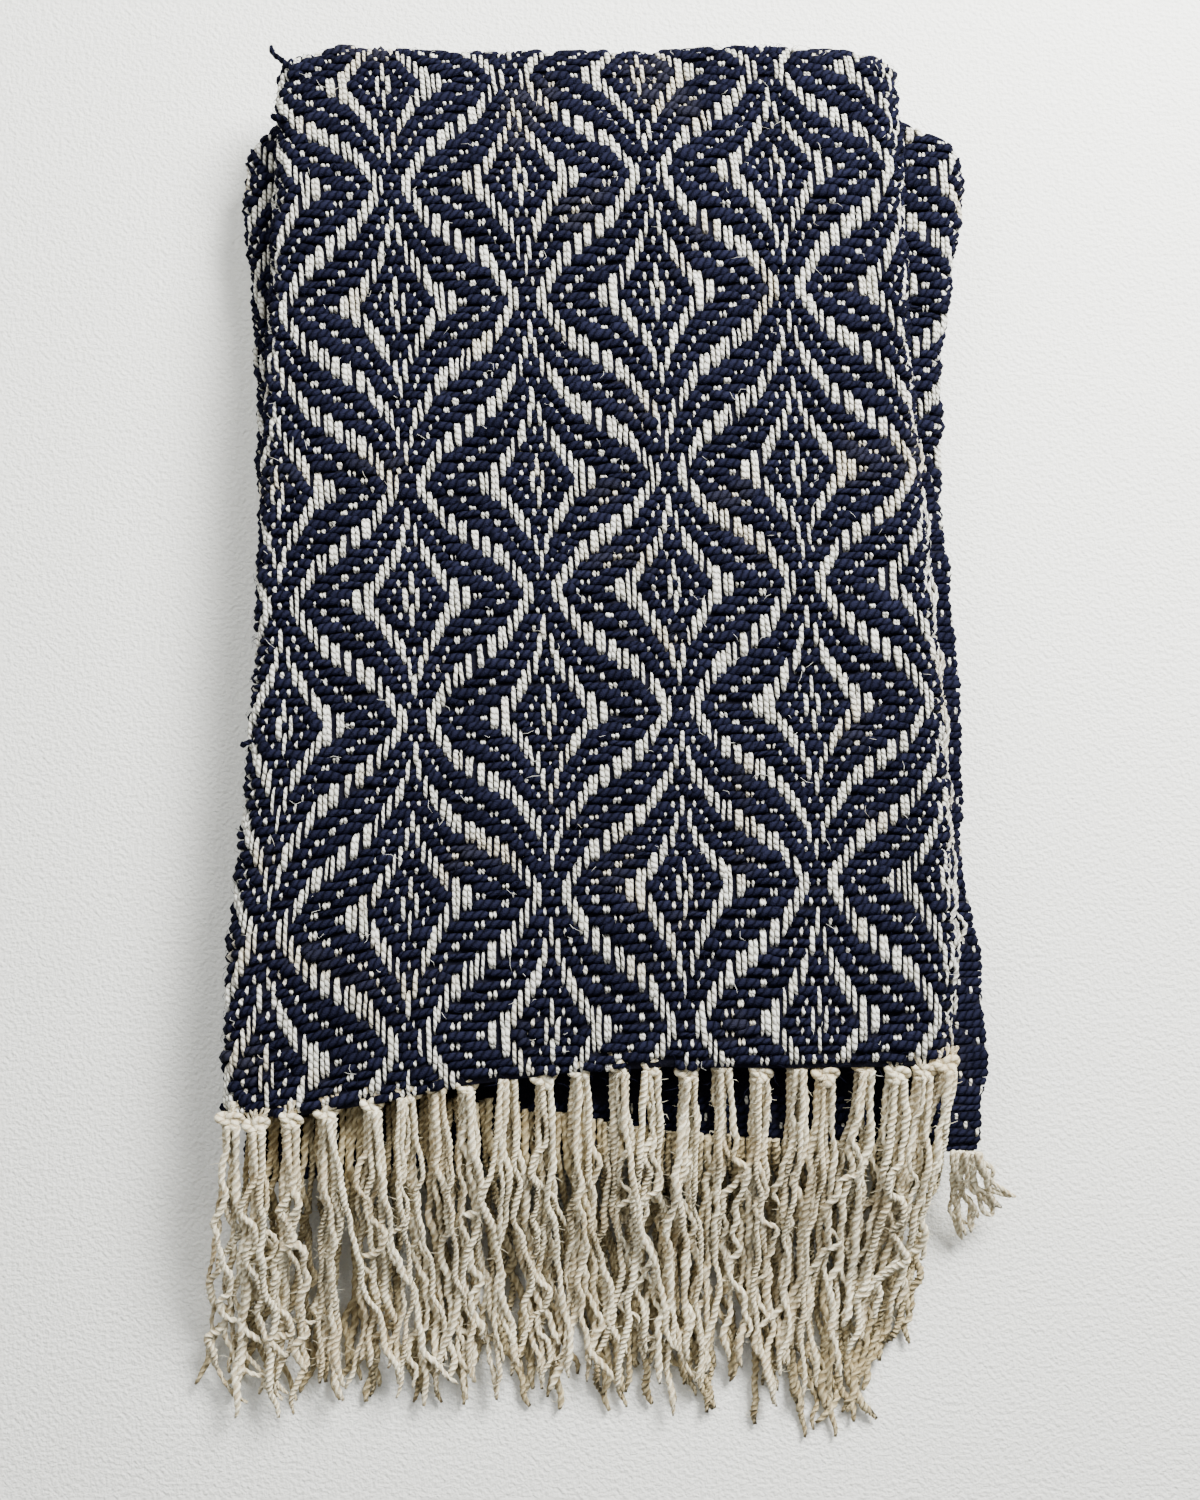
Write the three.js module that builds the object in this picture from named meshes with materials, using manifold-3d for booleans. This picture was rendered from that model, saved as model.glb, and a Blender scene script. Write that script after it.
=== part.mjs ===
// A handwoven ruana folded into a flat bundle, lying on a level surface with its fringe end towards -Y.
// Millimetres, +Z up, +X to the right of the fringe end's viewer, origin under the bundle's middle.
import * as THREE from 'three'
import { mergeVertices } from 'three/addons/utils/BufferGeometryUtils.js'
import Module from 'manifold-3d'

// Cloth and pile. Every wall is parted from its neighbour by the gap.
const CLOTH = 3
const GAP = 0.35
const PILE_HEIGHT = 46
const UPPER_ROLL = 8.5
const LOWER_TOP = 28
const LOWER_ROLL = 6.5
const ROLL_ANGLE = THREE.MathUtils.degToRad(131)
const TUCK = 15
const WAIST = 17
const SELVEDGE_BOTTOM = LOWER_TOP + GAP
const FOLD_FROM = 150
const FOLD_SLUMP = 0.13
const FOLD_END = 252
const FRINGE_FROM = -60
const FRINGE_SLUMP = 0.07
const FRINGE_SPAN = 90
const SIDE_SLUMP = 0.035
const HALF_WIDTH = 130
const CENTRE_Y = 45
const MERGE = 1e-3

// Steps of the cloth's grid
const ACROSS = 12
const ALONG = 16
const ROLL_STEPS = 4
const ROLL_TURNS = Array.from({ length: ROLL_STEPS + 1 }, (_, n) => (n / ROLL_STEPS) * ROLL_ANGLE)

// Edges of the upper folds, seen from above: where the rolled sides, the top fold and the cut end lie
const UPPER_SIDES = [
  { y: -135, left: -135.6, right: 119.5 },
  { y: -108, left: -135.3, right: 120.6 },
  { y: -77, left: -134.3, right: 122.6 },
  { y: -52, left: -132.2, right: 122.2 },
  { y: -24, left: -129.4, right: 120.9 },
  { y: 12, left: -127.4, right: 119.2 },
  { y: 47, left: -126.0, right: 116.6 },
  { y: 84, left: -125.2, right: 113.6 },
  { y: 120, left: -124.6, right: 110.8 },
  { y: 157, left: -123.4, right: 108.9 },
  { y: 200, left: -122.3, right: 108.2 },
  { y: 235, left: -122.0, right: 107.2 },
  { y: 255, left: -122.6, right: 104.0 },
]
const UPPER_FOLD = [
  { x: -125, y: 249 },
  { x: -99, y: 254.6 },
  { x: -58, y: 252.9 },
  { x: -18, y: 252.2 },
  { x: 15, y: 252.8 },
  { x: 46, y: 254.4 },
  { x: 82, y: 254.0 },
  { x: 106, y: 249.5 },
]
const UPPER_END = [
  { x: -136, y: -134.6 },
  { x: -110, y: -134.2 },
  { x: -80, y: -129.6 },
  { x: -50, y: -123.4 },
  { x: -20, y: -119.6 },
  { x: 20, y: -117.0 },
  { x: 60, y: -117.4 },
  { x: 120, y: -116.8 },
]

// Edges of the lower folds, which stand out past the upper ones near the top fold
const LOWER_SIDES = [
  { y: -160, left: -131.0, right: 120.5 },
  { y: -60, left: -129.5, right: 121.0 },
  { y: 30, left: -128.4, right: 122.6 },
  { y: 69, left: -129.0, right: 123.6 },
  { y: 107, left: -129.9, right: 123.2 },
  { y: 145, left: -131.4, right: 124.4 },
  { y: 172, left: -134.0, right: 129.0 },
  { y: 197, left: -136.0, right: 132.6 },
  { y: 222, left: -136.6, right: 133.4 },
  { y: 245, left: -133.0, right: 129.0 },
]
const LOWER_FOLD = [
  { x: -137, y: 221 },
  { x: -124, y: 230 },
  { x: -98, y: 238 },
  { x: -50, y: 243 },
  { x: 30, y: 244 },
  { x: 86, y: 239 },
  { x: 111, y: 232.5 },
  { x: 134, y: 222 },
]
const LOWER_END = [
  { x: -131, y: -154 },
  { x: -70, y: -148 },
  { x: 0, y: -143 },
  { x: 70, y: -140 },
  { x: 121, y: -141 },
]

// The under cloth: its selvedge on the right, from where it first shows, and its cut end
const SELVEDGE = [
  { y: -151, out: 131.0 },
  { y: -144, out: 134.0 },
  { y: -130, out: 133.4 },
  { y: -116, out: 136.6 },
  { y: -96, out: 134.6 },
  { y: -78, out: 133.4 },
  { y: -61, out: 129.8 },
  { y: -38, out: 127.0 },
  { y: -4, out: 128.2 },
  { y: 35, out: 126.2 },
  { y: 66, out: 123.4 },
  { y: 100, out: 118.0 },
]
const UNDER_END = [
  { x: -130, y: -161.5 },
  { x: -71, y: -154.0 },
  { x: 0, y: -149.0 },
  { x: 71, y: -146.5 },
  { x: 131, y: -149.5 },
]
const SELVEDGE_FROM = 96
const SELVEDGE_DROOP = 5
const SELVEDGE_OVERHANG = 22
const END_DROOP = 2
const END_OVERHANG = 8

// Hidden layers that show as rounded edges under the lower folds: height and distance inside the outline
const LAYER_EDGES = [
  { z: 16.4, inside: 4.4 },
  { z: 15.2, inside: 1.0 },
  { z: 12.2, inside: 0.6 },
  { z: 10.8, inside: 3.2 },
  { z: 9.4, inside: 0.9 },
  { z: 6.8, inside: 0.6 },
  { z: 5.4, inside: 3.4 },
  { z: 4.1, inside: 1.2 },
  { z: 1.3, inside: 1.0 },
  { z: 0, inside: 4.2 },
]

// Fringe
const KNOT_COUNT = 22
const KNOT_FIRST = -131.5
const KNOT_LAST = 116.5
const KNOT_SIZE = { across: 4.3, along: 2.9, up: 2.6 }
const BACKING = { along: 3.2, up: 3 }
const KNOT_SIDES = 6
const STRANDS_PER_KNOT = 4
const ROOT_PITCH = 2
const TIP_PITCH = 2.9
const STRAND_RADIUS = 1.05
const STRAND_STEPS = 5
const STRAND_SIDES = 3
const LEVEL_STEP = 2.4
const UNDER_STRANDS = 72
const UNDER_FIRST = -127
const UNDER_LAST = 118
const CORNER_STRANDS = 8
const CORNER_FIRST = 121
const CORNER_LAST = 131.5
const CORNER_REACH = { first: 34, last: 22, shorter: 4 }
const CORNER_DRIFT = { first: 6, last: 18 }
const STRIP_STEPS = 20
const TIP_TAPER = 0.7
const DRIFT_CURVE = 1.5
const UPPER_WAVE = 1.2
const UNDER_WAVE = -1
const CORNER_WAVE = 0.6
const UPPER_RAGGED = 7
const UNDER_RAGGED = 9

// Height of the upper and the under fringe against distance past the row of knots or the under cloth's end
const UPPER_FALL = [
  { past: 0, z: 40.2 },
  { past: 32, z: 31.0 },
  { past: 48, z: 24.0 },
  { past: 66, z: 15.0 },
  { past: 84, z: 10.0 },
  { past: 130, z: 8.2 },
]
const UNDER_FALL = [
  { past: 0, z: 25.0 },
  { past: 14, z: 18.0 },
  { past: 28, z: 9.0 },
  { past: 44, z: 4.6 },
  { past: 64, z: 3.2 },
  { past: 110, z: 2.6 },
]

// How far the fringe reaches and how far it drifts sideways, against the strand's place across
const FRINGE_REACH = [
  { x: -132, reach: 103, drift: -12.5 },
  { x: -112, reach: 106, drift: -5 },
  { x: -80, reach: 108, drift: 2 },
  { x: -40, reach: 112, drift: 4 },
  { x: 20, reach: 118, drift: 3 },
  { x: 70, reach: 112, drift: -4 },
  { x: 100, reach: 98, drift: -11 },
  { x: 118, reach: 76, drift: -13 },
]
const UNDER_REACH = [
  { x: -128, reach: 74, drift: -16 },
  { x: -60, reach: 84, drift: 3 },
  { x: 20, reach: 92, drift: 8 },
  { x: 66, reach: 105, drift: 12 },
  { x: 90, reach: 94, drift: 6 },
  { x: 118, reach: 62, drift: -6 },
]

const wasm = await Module()
wasm.setup()

// Value of one named column of a table, between rows by straight lines
function along(rows, key, column, at) {
  if (at <= rows[0][key]) return rows[0][column]
  for (let i = 1; i < rows.length; i += 1) {
    const before = rows[i - 1]
    const after = rows[i]
    if (at <= after[key]) {
      const share = (at - before[key]) / (after[key] - before[key])
      return THREE.MathUtils.lerp(before[column], after[column], share)
    }
  }
  return rows[rows.length - 1][column]
}

// The pile is lower towards the folds, the fringe and its sides
function slump(x, y) {
  const fold = THREE.MathUtils.clamp((y - FOLD_FROM) / (FOLD_END - FOLD_FROM), 0, 1)
  const fringe = THREE.MathUtils.clamp((FRINGE_FROM - y) / FRINGE_SPAN, 0, 1)
  const side = Math.min(Math.abs(x) / HALF_WIDTH, 1)
  return 1 - FOLD_SLUMP * fold ** 2 - FRINGE_SLUMP * fringe ** 2 - SIDE_SLUMP * side ** 4
}

const upper = { sides: UPPER_SIDES, fold: UPPER_FOLD, end: UPPER_END, top: PILE_HEIGHT, roll: UPPER_ROLL }
const lower = { sides: LOWER_SIDES, fold: LOWER_FOLD, end: LOWER_END, top: LOWER_TOP, roll: LOWER_ROLL }

// Point inside a group of folds, its rolled margin left out. across and up run from 0 to 1.
function flatPoint(group, across, up) {
  const foldAtMiddle = along(group.fold, 'x', 'y', 0) - group.roll
  const middle = THREE.MathUtils.lerp(along(group.end, 'x', 'y', 0), foldAtMiddle, up)
  const left = along(group.sides, 'y', 'left', middle) + group.roll
  const right = along(group.sides, 'y', 'right', middle) - group.roll
  const x = THREE.MathUtils.lerp(left, right, across)
  const end = along(group.end, 'x', 'y', x)
  const fold = along(group.fold, 'x', 'y', x) - group.roll
  return new THREE.Vector2(x, THREE.MathUtils.lerp(end, fold, up))
}

// Point of a group's skin, depth under the cloth's outer face. out is the way the cloth rolls over the
// edge and turn how far it has rolled, as an angle.
function skinPoint(group, place, out, turn, depth) {
  const base = flatPoint(group, place.across, place.up)
  const reach = (group.roll - depth) * Math.sin(turn)
  const drop = group.roll - (group.roll - depth) * Math.cos(turn)
  const x = base.x + out.x * reach
  const y = base.y + out.y * reach
  return new THREE.Vector3(x, y, (group.top - drop) * slump(x, y))
}

// Stations of the cloth in one direction: share of the flat part, and how far rolled at either side
function stations(steps, rollsBefore, rollsAfter) {
  const list = []
  for (let i = rollsBefore; i > 0; i -= 1) list.push({ share: 0, rolled: -i / ROLL_STEPS })
  for (let i = 0; i <= steps; i += 1) list.push({ share: i / steps, rolled: 0 })
  for (let i = 1; i <= rollsAfter; i += 1) list.push({ share: 1, rolled: i / ROLL_STEPS })
  return list
}

const ACROSS_STATIONS = stations(ACROSS, ROLL_STEPS, ROLL_STEPS)
const ALONG_STATIONS = stations(ALONG, 0, ROLL_STEPS)

// Grid of places on the upper cloth: rows from the cut end to the top fold
function upperGrid(depth) {
  return ALONG_STATIONS.map((row) => ACROSS_STATIONS.map((column) => {
    const out = new THREE.Vector2(column.rolled, row.rolled)
    const turn = Math.max(Math.abs(out.x), Math.abs(out.y)) * ROLL_ANGLE
    if (out.lengthSq() > 0) out.normalize()
    return skinPoint(upper, { across: column.share, up: row.share }, out, turn, depth)
  }))
}

// Places round the pile, from the cut end's left corner up, across the fold and down the right side, and
// back along the cut end. Each tells the way out of the pile there.
function loopPlaces() {
  const places = []
  const last = ACROSS_STATIONS.length - 1
  const topRow = ALONG_STATIONS.length - 1
  for (let j = 0; j <= topRow; j += 1) places.push({ i: 0, j })
  for (let i = 1; i <= last; i += 1) places.push({ i, j: topRow })
  for (let j = topRow - 1; j >= 0; j -= 1) places.push({ i: last, j })
  for (let i = last - 1; i >= 1; i -= 1) places.push({ i, j: 0 })
  return places.map(({ i, j }) => {
    const column = ACROSS_STATIONS[i]
    const row = ALONG_STATIONS[j]
    const atEnd = j === 0 && i > 0 && i < last
    const out = new THREE.Vector2(column.rolled, row.rolled)
    const spread = Math.max(Math.abs(out.x), Math.abs(out.y))
    if (spread > 0) out.normalize()
    return { i, j, across: column.share, up: row.share, out, spread, atEnd }
  })
}

const LOOP = loopPlaces()
const FIRST_END = LOOP.findIndex((place) => place.atEnd)

// Place on the lower folds' outline, or inside it by the given distance
function lowerRim(place, inside) {
  const base = flatPoint(lower, place.across, place.up)
  return base.addScaledVector(place.out, place.spread * (lower.roll - inside))
}

// Ring round the lower folds at one height, inside their outline
function lowerRing(inside, height) {
  return LOOP.map((place) => {
    const rim = lowerRim(place, inside)
    const y = place.up === 0 ? rim.y + inside : rim.y
    return new THREE.Vector3(rim.x, y, height * slump(rim.x, y))
  })
}

// Ring round the lower folds on their rolled skin
function lowerSkinRing(turn, depth) {
  return LOOP.map((place) => skinPoint(lower, place, place.out, turn * place.spread, depth))
}

// Points and faces of one closed body, gathered piece by piece
class Body {
  constructor() {
    this.points = []
    this.faces = []
  }

  add(point) {
    this.points.push(point)
    return this.points.length - 1
  }

  quad(a, b, c, d) {
    this.faces.push([a, b, c], [a, c, d])
  }

  geometry() {
    const geometry = new THREE.BufferGeometry()
    const coordinates = this.points.flatMap((point) => point.toArray())
    geometry.setAttribute('position', new THREE.Float32BufferAttribute(coordinates, 3))
    geometry.setIndex(this.faces.flat())
    geometry.computeVertexNormals()
    return geometry
  }
}

// Wall between two grids of the same shape, closed all round its rim. Rows run towards +Y with columns
// towards +X on the face that looks up.
function wall(top, bottom) {
  const body = new Body()
  const over = top.map((row) => row.map((point) => body.add(point)))
  const under = bottom.map((row) => row.map((point) => body.add(point)))
  const rows = over.length
  const columns = over[0].length
  for (let j = 0; j < rows - 1; j += 1) {
    for (let i = 0; i < columns - 1; i += 1) {
      body.quad(over[j][i], over[j][i + 1], over[j + 1][i + 1], over[j + 1][i])
      body.quad(under[j][i], under[j + 1][i], under[j + 1][i + 1], under[j][i + 1])
    }
  }
  for (let i = 0; i < columns - 1; i += 1) {
    body.quad(over[0][i + 1], over[0][i], under[0][i], under[0][i + 1])
    body.quad(over[rows - 1][i], over[rows - 1][i + 1], under[rows - 1][i + 1], under[rows - 1][i])
  }
  for (let j = 0; j < rows - 1; j += 1) {
    body.quad(over[j][0], over[j + 1][0], under[j + 1][0], under[j][0])
    body.quad(over[j + 1][columns - 1], over[j][columns - 1], under[j][columns - 1], under[j + 1][columns - 1])
  }
  return body.geometry()
}

// The top stretch of cloth: flat over the pile, rolled over both sides and over the top fold
function upperCloth() {
  return wall(upperGrid(0), upperGrid(CLOTH))
}

// The lower stretch, rolled over the lower folds on the left, at the top fold and on the right
function lowerCloth() {
  const openPart = LOOP.slice(0, FIRST_END)
  const rows = (depth) => {
    const tucked = openPart.map((place) => {
      const inner = insetPoint(lower, place, TUCK)
      return new THREE.Vector3(inner.x, inner.y, (lower.top - depth) * slump(inner.x, inner.y))
    })
    const rolled = ROLL_TURNS.map((turn) => (
      openPart.map((place) => skinPoint(lower, place, place.out, turn, depth))
    ))
    return [tucked, ...rolled]
  }
  return wall(rows(0), rows(CLOTH))
}

// The under cloth's edges that show: its selvedge on the right and its cut end past the row of knots
function underCloth() {
  const last = ACROSS_STATIONS.length - 1
  const start = LOOP.findIndex((place) => place.i === last && flatPoint(lower, 1, place.up).y < SELVEDGE_FROM)
  const rim = [...LOOP.slice(start), LOOP[0]]
  const places = rim.filter(({ i, j, across }) => i === last || j > 0 || across < 1)
  const steps = ['tucked', 0, 0.5, 1]
  const surface = (height) => steps.map((step) => places.map((place) => {
    const onRight = place.i === last
    const onEnd = place.j === 0
    const flatEdge = flatPoint(lower, place.across, place.up)
    const tuckedX = flatPoint(lower, 1, place.up).x + lower.roll - TUCK
    const x = onRight ? flatEdge.x : lowerRim(place, 0).x
    const tuckedEnd = along(upper.end, 'x', 'y', Math.min(x, tuckedX)) + TUCK
    const tucked = new THREE.Vector2(
      Math.min(x, tuckedX),
      onEnd ? tuckedEnd : Math.max(flatEdge.y, tuckedEnd),
    )
    const outer = new THREE.Vector2(
      onRight ? along(SELVEDGE, 'y', 'out', onEnd ? SELVEDGE[0].y : flatEdge.y) : x,
      onEnd ? along(UNDER_END, 'x', 'y', x) : flatEdge.y,
    )
    const edge = new THREE.Vector2(Math.min(x, flatPoint(lower, 1, place.up).x), flatEdge.y)
    const flat = step === 'tucked' ? tucked : edge.clone().lerp(outer, step)
    const overSide = onRight ? (flat.x - edge.x) / SELVEDGE_OVERHANG : 0
    const overEnd = onEnd ? (edge.y - flat.y) / END_OVERHANG : 0
    const droop = step === 'tucked' ? 0 : SELVEDGE_DROOP * overSide ** 2 + END_DROOP * overEnd ** 2
    return new THREE.Vector3(flat.x, flat.y, (height - droop) * slump(flat.x, flat.y))
  }))
  return wall(surface(SELVEDGE_BOTTOM + CLOTH), surface(SELVEDGE_BOTTOM))
}

// Place on a group's edge, or inside it by the given distance, with square corners
function insetPoint(group, place, inset) {
  const base = flatPoint(group, place.across, place.up)
  const step = place.spread > 0 ? group.roll - inset : 0
  const acrossFold = place.up === 1 ? step : 0
  return new THREE.Vector2(base.x + Math.sign(place.out.x) * step, base.y + acrossFold)
}

// Ring inside both groups of folds by the given distance, at one height
function waistRing(z, inset) {
  const inside = (place) => [upper, lower].map((group) => insetPoint(group, place, inset))
  const sideLimit = (place, side) => {
    const limits = inside({ ...place, across: side, out: new THREE.Vector2(side * 2 - 1, 0), spread: 1 })
    return side === 0 ? Math.max(limits[0].x, limits[1].x) : Math.min(limits[0].x, limits[1].x)
  }
  return LOOP.map((place) => {
    const [high, low] = inside(place)
    const x = THREE.MathUtils.clamp(high.x, sideLimit(place, 0), sideLimit(place, 1))
    const end = along(upper.end, 'x', 'y', x) + inset
    const y = place.up === 0 ? end : Math.max(Math.min(high.y, low.y), end)
    return new THREE.Vector3(x, y, z * slump(x, y))
  })
}

// Body between rings of points, one above the other, closed at the first and the last by fans
function stack(rings, body = new Body(), before = null) {
  const fan = (ring, upwards) => {
    const centre = body.add(new THREE.Vector3(0, CENTRE_Y, ring.height))
    ring.ids.forEach((id, k) => {
      const next = ring.ids[(k + 1) % ring.ids.length]
      body.faces.push(upwards ? [id, centre, next] : [next, centre, id])
    })
  }
  let held = before
  for (const { points, height } of rings) {
    const ring = { ids: points.map((point) => body.add(point)), height }
    if (held === null) fan(ring, true)
    else {
      for (let k = 0; k < ring.ids.length; k += 1) {
        const next = (k + 1) % ring.ids.length
        body.quad(held.ids[k], held.ids[next], ring.ids[next], ring.ids[k])
      }
    }
    held = ring
  }
  fan(held, false)
  return body.geometry()
}

// All hidden layers as one rounded solid: it fills the upper folds, narrows where the cloths run in
// between the groups, fills the lower folds, and shows its layers' edges down to the surface.
function hiddenLayers() {
  const depth = CLOTH + GAP
  const underUpper = SELVEDGE_BOTTOM + CLOTH + GAP
  const overLower = lower.top - depth

  const body = new Body()
  const skin = upperGrid(depth)
  skin[0].forEach((point) => { point.y += GAP })
  const ids = skin.map((row) => row.map((point) => body.add(point)))
  for (let j = 0; j < ids.length - 1; j += 1) {
    for (let i = 0; i < ids[0].length - 1; i += 1) {
      body.quad(ids[j][i], ids[j][i + 1], ids[j + 1][i + 1], ids[j + 1][i])
    }
  }
  const rim = { ids: LOOP.map(({ i, j }) => ids[j][i]) }
  const last = ACROSS_STATIONS.length - 1
  const foot = LOOP.map(({ i, j }) => {
    const { y } = skin[j][i]
    const x = j === 0 ? THREE.MathUtils.clamp(skin[0][i].x, skin[0][0].x, skin[0][last].x) : skin[j][i].x
    return new THREE.Vector3(x, y, underUpper * slump(x, y))
  })
  const geometry = stack([
    { points: foot, height: underUpper },
    { points: waistRing(underUpper, WAIST), height: underUpper },
    { points: waistRing(overLower, WAIST), height: overLower },
    ...ROLL_TURNS.map((turn) => ({ points: lowerSkinRing(turn, depth), height: overLower })),
    ...LAYER_EDGES.map((edge) => ({ points: lowerRing(edge.inside, edge.z), height: edge.z })),
  ], body, rim)
  return geometryOf(solid(geometry))
}

// Solid that can be joined with others. Faces that shrink to a line at a corner are left out.
function solid(geometry) {
  const bare = geometry.clone()
  bare.deleteAttribute('normal')
  bare.deleteAttribute('uv')
  const merged = mergeVertices(bare, MERGE)
  const index = Array.from(merged.index.array)
  const faces = Array.from({ length: index.length / 3 }, (_, n) => index.slice(n * 3, n * 3 + 3))
  const kept = faces.filter(([a, b, c]) => a !== b && b !== c && c !== a)
  return new wasm.Manifold(new wasm.Mesh({
    numProp: 3,
    vertProperties: new Float32Array(merged.attributes.position.array),
    triVerts: new Uint32Array(kept.flat()),
  }))
}

// Geometry of a joined solid
function geometryOf(joined) {
  const mesh = joined.getMesh()
  const geometry = new THREE.BufferGeometry()
  geometry.setAttribute('position', new THREE.BufferAttribute(new Float32Array(mesh.vertProperties), 3))
  geometry.setIndex(new THREE.BufferAttribute(new Uint32Array(mesh.triVerts), 1))
  geometry.computeVertexNormals()
  return geometry
}

// One strand of fringe along its points, tapered a little to the tip
function strand(points) {
  const body = new Body()
  const rings = points.map((point, n) => {
    const radius = STRAND_RADIUS * (n === points.length - 1 ? TIP_TAPER : 1)
    return Array.from({ length: STRAND_SIDES }, (_, k) => {
      const angle = (k / STRAND_SIDES) * Math.PI * 2 + Math.PI / 2
      const aside = radius * Math.cos(angle)
      const above = radius * Math.sin(angle)
      return body.add(new THREE.Vector3(point.x + aside, point.y, point.z + above))
    })
  })
  for (let n = 0; n < rings.length - 1; n += 1) {
    for (let k = 0; k < STRAND_SIDES; k += 1) {
      const next = (k + 1) % STRAND_SIDES
      body.quad(rings[n][k], rings[n][next], rings[n + 1][next], rings[n + 1][k])
    }
  }
  const root = rings[0]
  const tip = rings[rings.length - 1]
  body.faces.push([root[2], root[1], root[0]], [tip[0], tip[1], tip[2]])
  return body.geometry()
}

// Points of a strand that leaves root towards -Y, lies on the fall's slope and drifts sideways
function strandRoute(root, fall, reach, drift, level, wave) {
  return Array.from({ length: STRAND_STEPS + 1 }, (_, n) => {
    const share = n / STRAND_STEPS
    const past = reach * share
    const x = root.x + drift * share ** DRIFT_CURVE + wave * Math.sin(share * Math.PI * 2)
    const z = along(fall, 'past', 'z', past) + level
    return new THREE.Vector3(x, root.y - past, z)
  })
}

// Narrow strip along the end of a cloth, between the given places across
function backing(edge, first, last, fall, offset) {
  const line = Array.from({ length: STRIP_STEPS + 1 }, (_, n) => {
    const x = THREE.MathUtils.lerp(first, last, n / STRIP_STEPS)
    return new THREE.Vector2(x, along(edge, 'x', 'y', x) - offset)
  })
  const rows = (z) => [
    line.map((p) => new THREE.Vector3(p.x, p.y - BACKING.along, z)),
    line.map((p) => new THREE.Vector3(p.x, p.y, z)),
  ]
  const middle = fall[0].z
  return solid(wall(rows(middle + BACKING.up / 2), rows(middle - BACKING.up / 2)))
}

// Fringe of the top stretch: knots on a strip, with their strands
function upperFringe() {
  let joined = backing(upper.end, KNOT_FIRST, KNOT_LAST, UPPER_FALL, GAP)
  for (let knot = 0; knot < KNOT_COUNT; knot += 1) {
    const x = THREE.MathUtils.lerp(KNOT_FIRST, KNOT_LAST, knot / (KNOT_COUNT - 1))
    const y = along(upper.end, 'x', 'y', x) - GAP - BACKING.along
    const shape = new THREE.SphereGeometry(1, KNOT_SIDES, KNOT_SIDES / 2 + 1)
    shape.scale(KNOT_SIZE.across, KNOT_SIZE.along, KNOT_SIZE.up)
    shape.translate(x, y, UPPER_FALL[0].z)
    joined = joined.add(solid(shape))
    for (let n = 0; n < STRANDS_PER_KNOT; n += 1) {
      const aside = n - (STRANDS_PER_KNOT - 1) / 2
      const level = (n % 2 - 0.5) * LEVEL_STEP
      const reach = along(FRINGE_REACH, 'x', 'reach', x) - UPPER_RAGGED * ((n * 3 + knot * 2) % 5) / 5
      const drift = along(FRINGE_REACH, 'x', 'drift', x) + aside * (TIP_PITCH - ROOT_PITCH)
      const root = new THREE.Vector2(x + aside * ROOT_PITCH, y)
      joined = joined.add(solid(strand(strandRoute(root, UPPER_FALL, reach, drift, level, UPPER_WAVE))))
    }
  }
  return geometryOf(joined)
}

// Fringe of the under cloth, from a strip along its cut end
function underFringe() {
  let joined = backing(UNDER_END, UNDER_FIRST, UNDER_LAST, UNDER_FALL, GAP)
  for (let n = 0; n < UNDER_STRANDS; n += 1) {
    const share = n / (UNDER_STRANDS - 1)
    const x = THREE.MathUtils.lerp(UNDER_FIRST + STRAND_RADIUS, UNDER_LAST - STRAND_RADIUS, share)
    const y = along(UNDER_END, 'x', 'y', x) - GAP - BACKING.along / 2
    const reach = along(UNDER_REACH, 'x', 'reach', x) - UNDER_RAGGED * ((n * 3) % 7) / 7
    const drift = along(UNDER_REACH, 'x', 'drift', x)
    const level = (n % 2 - 0.5) * LEVEL_STEP
    const root = new THREE.Vector2(x, y)
    joined = joined.add(solid(strand(strandRoute(root, UNDER_FALL, reach, drift, level, UNDER_WAVE))))
  }
  return geometryOf(joined)
}

// Tuft at the under cloth's right corner, past the selvedge
function cornerTuft() {
  let joined = backing(UNDER_END, CORNER_FIRST, CORNER_LAST, UNDER_FALL, GAP)
  for (let n = 0; n < CORNER_STRANDS; n += 1) {
    const share = n / (CORNER_STRANDS - 1)
    const x = THREE.MathUtils.lerp(CORNER_FIRST + STRAND_RADIUS, CORNER_LAST - STRAND_RADIUS, share)
    const y = along(UNDER_END, 'x', 'y', x) - GAP - BACKING.along / 2
    const longest = THREE.MathUtils.lerp(CORNER_REACH.first, CORNER_REACH.last, share)
    const reach = longest - CORNER_REACH.shorter * (n % 3)
    const drift = THREE.MathUtils.lerp(CORNER_DRIFT.first, CORNER_DRIFT.last, share)
    const level = (n % 2 - 0.5) * LEVEL_STEP
    const root = new THREE.Vector2(x, y)
    joined = joined.add(solid(strand(strandRoute(root, UNDER_FALL, reach, drift, level, CORNER_WAVE))))
  }
  return geometryOf(joined)
}

const navyWool = new THREE.MeshStandardMaterial({ color: 0x20264a, roughness: 0.95, metalness: 0 })
const patterned = new THREE.MeshStandardMaterial({ color: 0x6c6f86, roughness: 0.95, metalness: 0 })
const creamCotton = new THREE.MeshStandardMaterial({ color: 0xe2d9c3, roughness: 0.9, metalness: 0 })

function piece(name, geometry, material) {
  const mesh = new THREE.Mesh(geometry, material)
  mesh.name = name
  return mesh
}

const ruana = new THREE.Group()
ruana.add(
  piece('upper_cloth', upperCloth(), patterned),
  piece('lower_cloth', geometryOf(solid(lowerCloth())), patterned),
  piece('under_cloth', geometryOf(solid(underCloth())), navyWool),
  piece('hidden_layers', hiddenLayers(), patterned),
  piece('upper_fringe', upperFringe(), creamCotton),
  piece('under_fringe', underFringe(), creamCotton),
  piece('corner_tuft', cornerTuft(), creamCotton),
)

export default ruana
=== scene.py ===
"""A handwoven ruana folded into a flat bundle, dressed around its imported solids.

Tables and sizes are in millimetres, and every mesh is made in metres. The cloth is woven yarn by yarn: each
float of weft or warp that shows is a short closed tube that dives at both its ends, over a thin web.
"""

import logging
import math
from dataclasses import dataclass, field
from enum import Enum

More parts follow.
